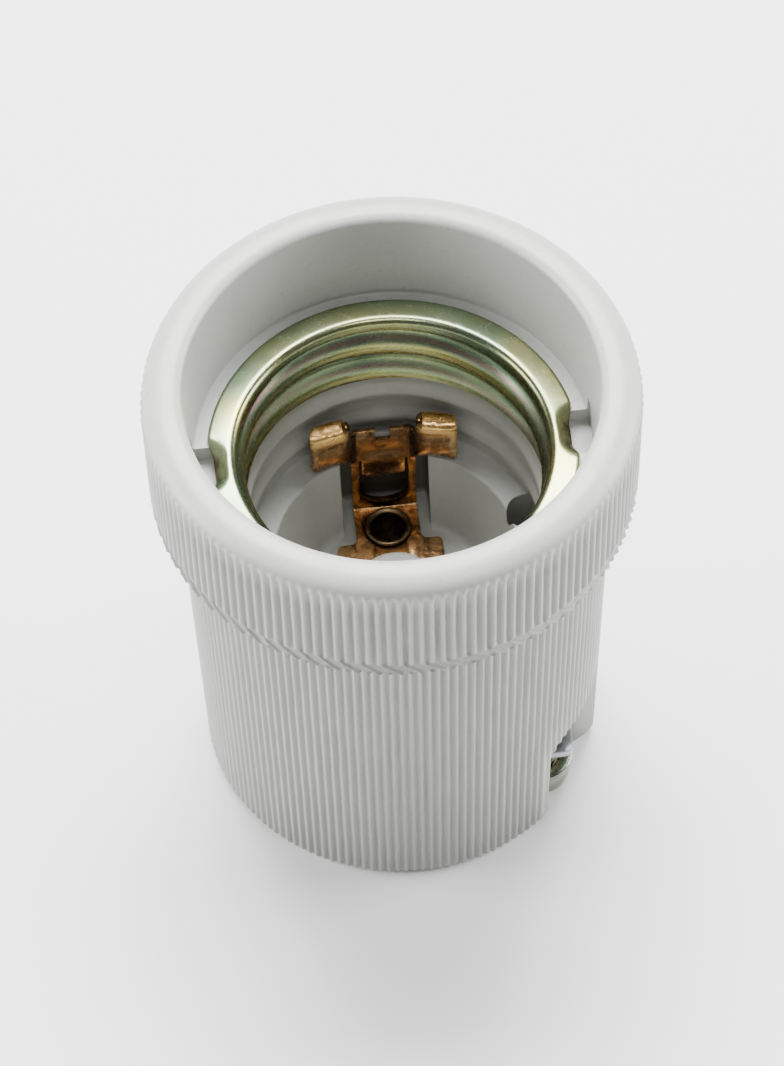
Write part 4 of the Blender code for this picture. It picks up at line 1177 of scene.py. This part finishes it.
class SideContactBlank:
    """The T-shaped blank and its bending: u across it, v along it from the axis and up the stem."""

    def __init__(self, sizes):
        bend = STRIP_BEND_RADIUS
        self.level = SIDE_LOW.z + 0.5 * STRIP_THICKNESS
        self.bend_end = STEM_OFFSET - bend + QUARTER_TURN * bend
        self.path = BendPath((0.0, self.level), [
            ("run", STEM_OFFSET - bend), ("bend", bend, QUARTER_TURN), ("run", STEM_RUN)])
        self.half = 0.5 * sizes.strip_width
        self.pad_in = self.half + PAD_SPREAD
        self.pad_out = self.half + sizes.pad_width
        self.neck_in = self.pad_in - NECK_WIDTH
        self.pad_low = self.up(LEDGE + PAD_ABOVE_LEDGE)
        self.pad_high = self.pad_low + sizes.pad_height + PAD_CURL_ALLOWANCE
        self.curl_start = self.pad_high - PAD_CURL_LENGTH
        self.step_start = self.pad_low - PAD_STEP_LENGTH
        self.stem_top = self.up(LEDGE + STEM_TOP_ABOVE_LEDGE)
        self.window_top = self.stem_top - WINDOW_DROP
        self.tongue_half = WINDOW_HALF_WIDTH - TONGUE_SLIT
        self.tongue_end = self.window_top - TONGUE_LENGTH

    def up(self, height):
        """Distance along the blank of a height on the stem."""
        return self.bend_end + height - self.level - STRIP_BEND_RADIUS

    def height(self, distance):
        """Height on the stem of a distance along the blank."""
        return self.level + STRIP_BEND_RADIUS + distance - self.bend_end

    def outline(self):
        corner = STRIP_CORNER
        hug = BOSS_RADIUS + SEAT_GAP
        lug_low = hug * math.sin(math.radians(LUG_ANGLE))
        lug_back = lug_low + LUG_LENGTH
        lug_reach = self.half + LUG_SPREAD
        points = [(0.0, hug)] + arc_points((0.0, 0.0), hug, 80.0, LUG_ANGLE, 8)
        points += arc_points((lug_reach - corner, lug_low + corner), corner, -90.0, 0.0, 4)
        points += arc_points((lug_reach - corner, lug_back - corner), corner, 0.0, 90.0, 4)
        points += arc_points((self.half + LUG_FILLET, lug_back + LUG_FILLET), LUG_FILLET, -90.0, -180.0, 4)
        points += self.neck_corner()
        points += arc_points((self.pad_out - corner, self.pad_low + corner), corner, -90.0, 0.0, 4)
        points += arc_points((self.pad_out - corner, self.pad_high - corner), corner, 0.0, 90.0, 4)
        points += arc_points((self.pad_in + corner, self.pad_high - corner), corner, 90.0, 180.0, 4)
        points += self.stem_head()
        return mirrored(points)

    def neck_corner(self):
        """The inner corner between the stem's side and the pad's lower edge."""
        return [(self.half, self.pad_low + STRIP_CORNER),
                (self.half + 0.3 * PAD_SPREAD, self.pad_low + 0.3 * STRIP_CORNER),
                (self.pad_in + 0.2 * STRIP_CORNER, self.pad_low)]

    def stem_head(self):
        """The stem's top edge from the pad to the small notch in its middle."""
        corner = 0.0002
        notch_top, notch_side, notch_floor = 0.00065, 0.00062, 0.0005
        return [(self.pad_in, self.stem_top + corner),
                (self.pad_in - corner, self.stem_top),
                (notch_top, self.stem_top),
                (notch_side, self.stem_top - NOTCH_DEPTH + corner),
                (notch_floor, self.stem_top - NOTCH_DEPTH),
                (0.0, self.stem_top - NOTCH_DEPTH)]

    def window(self):
        """The round-footed window, with the scalloped tongue that hangs into it."""
        half = WINDOW_HALF_WIDTH
        tongue = self.tongue_half
        tongue_corner = self.tongue_end + STRIP_CORNER
        bulge = 0.0012
        knee = self.window_top - WINDOW_LENGTH + WINDOW_ROUNDNESS * half
        foot = arc_points((0.0, 0.0), half, 0.0, -180.0, 20)
        points = [(half, self.window_top)]
        points += [(u, knee + WINDOW_ROUNDNESS * v) for u, v in foot]
        points += [(-half, self.window_top), (-tongue, self.window_top), (-tongue, tongue_corner)]
        for step in range(1, SCALLOPS):
            share = step / SCALLOPS
            dip = SCALLOP_DEPTH if step % 2 else 0.0
            points.append((tongue * (2.0 * share - 1.0), self.tongue_end + dip + bulge * (share - 0.5) ** 2))
        return points + [(tongue, tongue_corner), (tongue, self.window_top)]

    def cut(self):
        """The flat blank, cut finely enough for the pads, the neck and the tongue to bend."""
        stem_lines = [-0.0016, -0.0008, 0.0, 0.0008, 0.0016]
        beside = spaced(self.pad_in, self.pad_out, 12)
        beside += [self.neck_in + NECK_WIDTH * step / 4 for step in range(4)]
        across = [side * distance for distance in beside for side in (-1.0, 1.0)] + stem_lines
        along = self.path.bend_lengths()
        along += spaced(self.pad_low, self.pad_high, 20)[:-1]
        along += spaced(self.step_start, self.pad_low, 4)[:-1]
        along += spaced(self.tongue_end, self.window_top, 5)
        rivet_hole = round_outline((0.0, RIVET_OFFSET), RIVET_HOLE_RADIUS, 40)
        return cut_blank(self.outline(), [rivet_hole, self.window()], across, along)

    def pad_shift(self, u, v):
        """How far a pad's point moves from the stem's plane, and up, as the pad is formed."""
        outside = max(0.0, abs(u) - self.half)
        wrap = PAD_WRAP * outside * outside
        lift = smoothstep(self.step_start, self.pad_low, v)
        neck = smoothstep(self.neck_in, self.neck_in + NECK_WIDTH, abs(u))
        across = min(1.0, outside / (self.pad_out - self.half))
        up = min(1.0, max(0.0, (v - self.pad_low) / (self.pad_high - self.pad_low)))
        dome = (1.0 - abs(2.0 * across - 1.0) ** 3) * (1.0 - abs(2.0 * up - 1.0) ** 3)
        on_pad = smoothstep(0.0, self.pad_in + STRIP_CORNER - self.half, outside)
        beyond = max(0.0, v - self.curl_start) * on_pad
        turned = min(PAD_CURL_ANGLE, beyond / PAD_CURL_RADIUS)
        straight = max(0.0, beyond - PAD_CURL_RADIUS * PAD_CURL_ANGLE)
        back = PAD_CURL_RADIUS * (1.0 - math.cos(turned)) + straight * math.sin(turned)
        rise = PAD_CURL_RADIUS * math.sin(turned) + straight * math.cos(turned) - beyond
        return back - wrap - PAD_STEP * lift * neck - PAD_DOME * dome, rise

    def place(self, u, v):
        """Pads curve round the axis, stand forward of the stem and curl back at the top."""
        slack = 0.0002
        dish_depth, dish_length = 0.00012, 0.0012
        dish_outer, dish_inner = 0.0024, 0.0010
        y, z = self.path.at(v)
        if v > self.step_start:
            back, rise = self.pad_shift(u, v)
            y += back
            z += rise
        if abs(u) < self.tongue_half + slack and self.tongue_end - STRIP_CORNER < v < self.window_top:
            y += TONGUE_SET * ((self.window_top - v) / (self.window_top - self.tongue_end)) ** 1.5
        dish = dish_depth * bell(v - self.window_top - dish_length, dish_length)
        y += dish * smoothstep(dish_outer, dish_inner, abs(u))
        return u, y, z

    def tarnish_and_shade_share(self, point):
        """Tarnish round the rivet and on the stem's upper part, and painted shade at the necks, low on the
        stem and on the tongue, darkest at its lower end.
        """
        neck_spread, ring_spread, ring_radius = 0.00045, 0.0004, 0.0021
        tongue_side_slack, tongue_end_slack, stem_edge = 0.0001, 0.0003, 0.0006
        stem_full = LEDGE + 0.001
        lower_from, lower_full = LEDGE - 0.001, LEDGE - 0.003
        foot_top = LEDGE - 0.005
        side = abs(point.x)
        tongue_top = self.height(self.window_top)
        tongue_low = self.height(self.tongue_end)
        on_tongue = (side < self.tongue_half + tongue_side_slack
                     and tongue_low - tongue_end_slack < point.z < tongue_top)
        tongue = smoothstep(tongue_top, tongue_low, point.z) if on_tongue else 0.0
        stem = (smoothstep(self.half, self.half - stem_edge, side)
                * smoothstep(tongue_top, stem_full, point.z))
        neck = bell(side - self.half, neck_spread) if point.z > LEDGE else 0.0
        from_rivet = math.hypot(point.x, point.y - RIVET_OFFSET)
        ring = bell(from_rivet - ring_radius, ring_spread) if point.z < foot_top else 0.0
        lower = (smoothstep(lower_from, lower_full, point.z)
                 * smoothstep(RIVET_OFFSET, STEM_OFFSET, point.y))
        strengths = (0.85 * neck, 0.6 * ring, 0.25 * lower, 0.9 * tongue, 0.45 * stem)
        return max(strengths)

    def polished_share(self, point):
        """The pads' curled tops, which a lamp's cap rubs bright."""
        pad_blend = 0.0004
        rub_start, rub_full = -0.0002, 0.0004
        curl_level = self.height(self.curl_start)
        on_pad = smoothstep(self.half, self.pad_in + pad_blend, abs(point.x))
        return on_pad * smoothstep(curl_level + rub_start, curl_level + rub_full, point.z)


def make_side_contact_piece(sizes, material):
    """A T of spring copper: a riveted foot, an upright stem with a lanced tongue, two pads."""
    blank = SideContactBlank(sizes)
    contact = bent_sheet("side_contact_fine", blank.cut(), blank.place, STRIP_THICKNESS, STRIP_WEAR)
    mark(contact, "tarnish_and_shade", blank.tarnish_and_shade_share)
    mark(contact, "polished", blank.polished_share)
    dress(contact, "side_contact", "root", material)


# Centre contact, rivets and terminals

SMALL_SEGMENTS = 64


def make_centre_contact_piece(material):
    """A copper leaf: a riveted foot, a riser beside the boss, and a tongue over the axis."""
    bend = STRIP_BEND_RADIUS
    corner = STRIP_CORNER
    tongue_half = 0.0020
    foot_half = LEAF_HIGH.x
    foot_start = -LEAF_LOW.y
    level = LEAF_LOW.z + 0.5 * STRIP_THICKNESS
    riser = BOSS_RADIUS + SEAT_GAP + 0.5 * STRIP_THICKNESS
    foot = foot_start - riser - bend
    rise = LEAF_HIGH.z - LEAF_LOW.z - STRIP_THICKNESS - 2.0 * bend
    path = BendPath((-foot_start, level), [
        ("run", foot), ("bend", bend, QUARTER_TURN), ("run", rise), ("bend", bend, -QUARTER_TURN),
        ("run", LEAF_HIGH.y + riser - bend)])
    end = path.total()
    end_rounding = 2.0 * corner
    outline = [(0.0, 0.0)] + arc_points((foot_half - corner, corner), corner, -90.0, 0.0, 4)
    outline += [(foot_half, foot - corner), (tongue_half, foot)]
    outline += arc_points((tongue_half - end_rounding, end - end_rounding), end_rounding, 0.0, 90.0, 6)
    outline.append((0.0, end))
    rivet_hole = round_outline((0.0, foot_start - RIVET_OFFSET), RIVET_HOLE_RADIUS, 40)

    def place(u, v):
        point = path.at(v)
        return u, point.x, point.y

    blank = cut_blank(mirrored(outline), [rivet_hole], [0.0], path.bend_lengths())
    leaf = bent_sheet("centre_contact_fine", blank, place, STRIP_THICKNESS, STRIP_WEAR)
    dress(leaf, "centre_contact", "root", material)


def make_rivet_piece(label, turned_round, material):
    """A hollow rivet: a drawn tube whose ends are rolled outward into round lips."""
    node = label + "_contact_rivet"
    low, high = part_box(node)
    bore = RIVET_BORE_RADIUS
    lip = 0.00035
    round_lip = 0.5 * lip
    lip_inset = 0.0001
    flare = RIVET_FLANGE_RADIUS - lip_inset
    top = high.z - lip
    bottom = low.z + lip
    profile = [(bore, bottom + lip), (bore, top - lip)]
    profile += arc_points((bore + lip, top), lip, 180.0, 90.0, 6)[1:]
    profile += arc_points((flare - round_lip, top + round_lip), round_lip, 90.0, -90.0, 6)
    profile += [(bore + RIVET_WALL, top), (bore + RIVET_WALL, bottom)]
    profile += arc_points((flare - round_lip, bottom - round_lip), round_lip, 90.0, -90.0, 6)
    profile += arc_points((bore + lip, bottom), lip, 270.0, 180.0, 6)[:-1]
    rivet = turned_ring(node + "_fine", profile, SMALL_SEGMENTS, smooth_angle=50.0)
    move_to(rivet, 0.0, RIVET_OFFSET if turned_round else -RIVET_OFFSET)
    dress(rivet, node, "root", material)


def make_plate_piece(label, turned_round, material):
    """A stamped terminal plate, stepped down from the rivet to the screw."""
    node = label + "_terminal_plate"
    thickness = 0.0008
    corner = 0.0008
    wear = 0.00010
    screw_end_half = 0.0028
    joggle_start = 0.0046
    joggle_run = 0.0031
    joggle_angle = math.radians(45.0)
    start = PLATE_LOW.x
    first_run = joggle_start - start
    joggle_reach = 2.0 * thickness * math.sin(joggle_angle) + joggle_run * math.cos(joggle_angle)
    last_run = PLATE_HIGH.x - joggle_start - joggle_reach
    path = BendPath((start, PLATE_HIGH.z - 0.5 * thickness), [
        ("run", first_run), ("bend", thickness, -joggle_angle), ("run", joggle_run),
        ("bend", thickness, joggle_angle), ("run", last_run)])
    end = path.total()
    step_end = end - last_run
    near, far = PLATE_HIGH.y, -2.0 * RIVET_OFFSET - PLATE_HIGH.y
    screw_near, screw_far = -TERMINAL_Y + screw_end_half, -TERMINAL_Y - screw_end_half
    outline = rounded_outline([
        (near, 0.0), (near, first_run), (screw_near, step_end), (screw_near, end),
        (screw_far, end), (screw_far, step_end), (far, first_run), (far, 0.0)], corner)
    rivet_hole = round_outline((-RIVET_OFFSET, -start), RIVET_HOLE_RADIUS, 40)
    screw_hole = round_outline((-TERMINAL_Y, end - (PLATE_HIGH.x - TERMINAL_X)), SCREW_HOLE_RADIUS, 40)

    def place(u, v):
        point = path.at(v)
        return point.x, u, point.y

    blank = cut_blank(outline, [rivet_hole, screw_hole], [], path.bend_lengths())
    plate = bent_sheet(node + "_fine", blank, place, thickness, wear)
    half_turn(plate, turned_round)
    dress(plate, node, "root", material)


def screw_column(angle, low, high, pitch):
    """One upright line of the screw's surface: head, cut thread and tapered tip."""
    head_height = 0.0022
    head_edge = 0.0005
    head_corner = 0.0001
    head_hollow_radius = 0.0005
    tip_radius = 0.0009
    thread_depth = 0.00028
    runout = 0.0004
    taper_depth, taper_length = 0.0004, 0.0006
    rows_per_turn = 8
    under = low + head_height
    profile = [(head_hollow_radius, low)]
    profile += arc_points((SCREW_HEAD_RADIUS - head_edge, low + head_edge), head_edge, -90.0, 0.0, 5)
    profile += [(SCREW_HEAD_RADIUS, under - head_corner), (SCREW_HEAD_RADIUS - head_corner, under),
                (SCREW_RADIUS, under)]
    rows = int(rows_per_turn * ((high - under) / pitch))
    for height in spaced(under, high, rows)[1:-1]:
        wave = 0.5 + 0.5 * math.cos(FULL_TURN * (height - under) / pitch - angle)
        fade = smoothstep(0.0, runout, height - under)
        taper = taper_depth * smoothstep(taper_length, 0.0, high - height)
        profile.append((SCREW_RADIUS - thread_depth * wave * fade - taper, height))
    profile.append((tip_radius, high))
    return [(*polar(radius, angle), height) for radius, height in profile]


def make_screw_piece(label, turned_round, sizes, material):
    """A slotted screw with a cut thread, its head rounded at the edge."""
    node = label + "_terminal_screw"
    segments = 48
    slot_half_length, slot_half_width, slot_depth = 0.005, 0.00035, 0.0011
    below_head = 0.001
    low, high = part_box(node)
    columns = [screw_column(FULL_TURN * index / segments, low.z, high.z, sizes.screw_pitch)
               for index in range(segments)]
    screw = stacked_solid(node + "_fine", list(zip(*columns)), smooth_angle=50.0)
    slot = prism(label + "_slot",
                 box_outline(-slot_half_length, -slot_half_width, slot_half_length, slot_half_width),
                 low.z - below_head, low.z + slot_depth)
    cut_away(screw, [slot], smooth_angle=50.0)
    half_turn(screw, turned_round)
    middle = 0.5 * (low + high)
    move_to(screw, middle.x, middle.y)
    dress(screw, node, label + "_screw", material)


def make_washer_piece(label, material):
    """A stamped clamp washer with rounded edges."""
    node = label + "_clamp_washer"
    edge = 0.00018
    low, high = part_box(node)
    hole = SCREW_HOLE_RADIUS + edge
    rim = WASHER_RADIUS - edge
    profile = arc_points((hole, low.z + edge), edge, 270.0, 180.0, 3)
    profile += arc_points((hole, high.z - edge), edge, 180.0, 90.0, 3)
    profile += arc_points((rim, high.z - edge), edge, 90.0, 0.0, 3)
    profile += arc_points((rim, low.z + edge), edge, 0.0, -90.0, 3)
    washer = turned_ring(node + "_fine", profile, SMALL_SEGMENTS, smooth_angle=50.0)
    middle = 0.5 * (low + high)
    move_to(washer, middle.x, middle.y)
    dress(washer, node, label + "_clamp", material)


# Stage

LIGHT_AIM = Vector((0.0, 0.0, 0.03))


def make_floor(sizes):
    half = 0.5 * sizes.floor_size
    corners = [(x, y, 0.0) for x, y in box_outline(-half, -half, half, half)]
    floor = new_piece("floor", corners, [(0, 1, 2, 3)], smooth_angle=35.0)
    floor.data.materials.append(floor_material(sizes.floor_colour))


def add_area_light(name, place, size, watts):
    """A soft rectangular light that faces the holder."""
    data = bpy.data.lights.new(name, 'AREA')
    data.shape = 'RECTANGLE'
    data.size, data.size_y = size
    data.energy = watts
    light = bpy.data.objects.new(name, data)
    light.location = place
    light.rotation_euler = (LIGHT_AIM - Vector(place)).to_track_quat('-Z', 'Y').to_euler()
    bpy.context.scene.collection.objects.link(light)


def make_lights(sizes):
    add_area_light("top_softbox", (0.02, 0.42, 0.75), (0.60, 0.50), sizes.top_power)
    add_area_light("front_softbox", (0.0, -0.24, 0.78), (0.30, 0.08), sizes.front_power)
    add_area_light("left_softbox", (-0.55, 0.05, 0.20), (0.30, 0.35), sizes.side_power)
    add_area_light("right_softbox", (0.55, 0.05, 0.20), (0.30, 0.35), sizes.side_power)
    world = bpy.data.worlds.new("even_light")
    world.use_nodes = True
    background = world.node_tree.nodes["Background"]
    background.inputs["Color"].default_value = (1.0, 1.0, 1.0, 1.0)
    background.inputs["Strength"].default_value = sizes.sky_strength
    bpy.context.scene.world = world


def make_camera():
    """The photograph's camera, turned with the holder's own axes."""
    turn = Matrix.Rotation(VIEW_TURN, 4, 'Z')
    ahead = Vector((0.0, math.cos(VIEW_ELEVATION), -math.sin(VIEW_ELEVATION)))
    place = VIEW_AIM - VIEW_DISTANCE * ahead
    level_right = Vector((1.0, 0.0, 0.0))
    level_up = level_right.cross(ahead)
    right = math.cos(VIEW_ROLL) * level_right + math.sin(VIEW_ROLL) * level_up
    up = right.cross(ahead)
    pose = Matrix((
        (right.x, up.x, -ahead.x, place.x),
        (right.y, up.y, -ahead.y, place.y),
        (right.z, up.z, -ahead.z, place.z),
        (0.0, 0.0, 0.0, 1.0),
    ))
    data = bpy.data.cameras.new("photo_camera")
    data.lens = VIEW_LENS
    data.sensor_width = VIEW_SENSOR_WIDTH
    data.clip_start = VIEW_NEAR
    data.clip_end = VIEW_FAR
    camera = bpy.data.objects.new("photo_camera", data)
    camera.matrix_world = turn @ pose
    bpy.context.scene.collection.objects.link(camera)
    bpy.context.scene.camera = camera


# Operators and panel

class LAMPHOLDER_OT_body(bpy.types.Operator):
    """Make the fine porcelain body"""

    bl_idname = "lampholder.body"
    bl_label = "Porcelain Body"

    def execute(self, context):
        sizes = context.scene.lampholder_body
        make_body_piece(sizes, porcelain_material(sizes.colour, sizes.shade_and_speck_colour, sizes.recess_shade_colour))
        return {'FINISHED'}


class LAMPHOLDER_OT_shell(bpy.types.Operator):
    """Make the fine screw shell"""

    bl_idname = "lampholder.shell"
    bl_label = "Screw Shell"

    def execute(self, context):
        sizes = context.scene.lampholder_shell
        drift_tints = (sizes.yellow, sizes.green, sizes.pink, sizes.green, sizes.dark)
        plating = plated_material(
            "passivated_zinc", drift_tints, sizes.pale, sizes.dark, sizes.stake_shade, thread_tint_and_shade_share=0.55)
        make_shell_piece(sizes, plating)
        return {'FINISHED'}


class LAMPHOLDER_OT_contacts(bpy.types.Operator):
    """Make the two copper contacts and their rivets"""

    bl_idname = "lampholder.contacts"
    bl_label = "Contacts and Rivets"

    def execute(self, context):
        sizes = context.scene.lampholder_contacts
        copper = copper_material(sizes.copper, sizes.polished, sizes.tarnish_and_shade)
        brass = turned_metal_material("rivet_brass", sizes.brass, roughness=0.30)
        make_side_contact_piece(sizes, copper)
        make_centre_contact_piece(copper)
        make_rivet_piece("side", True, brass)
        make_rivet_piece("centre", False, brass)
        return {'FINISHED'}


class LAMPHOLDER_OT_terminals(bpy.types.Operator):
    """Make the terminal plates, screws and clamp washers"""

    bl_idname = "lampholder.terminals"
    bl_label = "Screw Terminals"

    def execute(self, context):
        sizes = context.scene.lampholder_contacts
        zinc = turned_metal_material("plate_zinc", sizes.zinc, roughness=0.34)
        dark = shade(sizes.steel, 0.55)
        drift_tints = (sizes.rust, sizes.steel, sizes.rust, sizes.steel, dark)
        steel = plated_material(
            "plated_steel", drift_tints, sizes.steel, dark, sizes.rust, thread_tint_and_shade_share=0.0)
        for label, turned_round in (("centre", False), ("side", True)):
            make_plate_piece(label, turned_round, zinc)
            make_screw_piece(label, turned_round, sizes, steel)
            make_washer_piece(label, steel)
        return {'FINISHED'}


class LAMPHOLDER_OT_stage(bpy.types.Operator):
    """Make the floor, the lights and the camera"""

    bl_idname = "lampholder.stage"
    bl_label = "Stage"

    def execute(self, context):
        sizes = context.scene.lampholder_stage
        make_floor(sizes)
        make_lights(sizes)
        make_camera()
        return {'FINISHED'}


class LAMPHOLDER_PT_panel(bpy.types.Panel):
    """Lists the lamp holder's operators and sizes"""

    bl_idname = "LAMPHOLDER_PT_panel"
    bl_label = "Lamp Holder"
    bl_space_type = 'VIEW_3D'
    bl_region_type = 'UI'
    bl_category = "Lamp Holder"

    def draw(self, context):
        for group_name, operators in (
            ("lampholder_body", ("lampholder.body",)),
            ("lampholder_shell", ("lampholder.shell",)),
            ("lampholder_contacts", ("lampholder.contacts", "lampholder.terminals")),
            ("lampholder_stage", ("lampholder.stage",)),
        ):
            box = self.layout.box()
            for operator in operators:
                box.operator(operator)
            group = getattr(context.scene, group_name)
            for name in group.__annotations__:
                box.prop(group, name)


GROUPS = (
    ("lampholder_body", BodySizes),
    ("lampholder_shell", ShellSizes),
    ("lampholder_contacts", ContactSizes),
    ("lampholder_stage", StageSizes),
)
CLASSES = (
    BodySizes,
    ShellSizes,
    ContactSizes,
    StageSizes,
    LAMPHOLDER_OT_body,
    LAMPHOLDER_OT_shell,
    LAMPHOLDER_OT_contacts,
    LAMPHOLDER_OT_terminals,
    LAMPHOLDER_OT_stage,
    LAMPHOLDER_PT_panel,
)


def register():
    for item in CLASSES:
        bpy.utils.register_class(item)
    for name, group in GROUPS:
        setattr(bpy.types.Scene, name, PointerProperty(type=group))


def unregister():
    for name, _ in GROUPS:
        delattr(bpy.types.Scene, name)
    for item in reversed(CLASSES):
        bpy.utils.unregister_class(item)


def main():
    register()
    bpy.ops.lampholder.stage()
    bpy.ops.lampholder.body()
    bpy.ops.lampholder.shell()
    bpy.ops.lampholder.contacts()
    bpy.ops.lampholder.terminals()


if __name__ == "__main__":
    main()
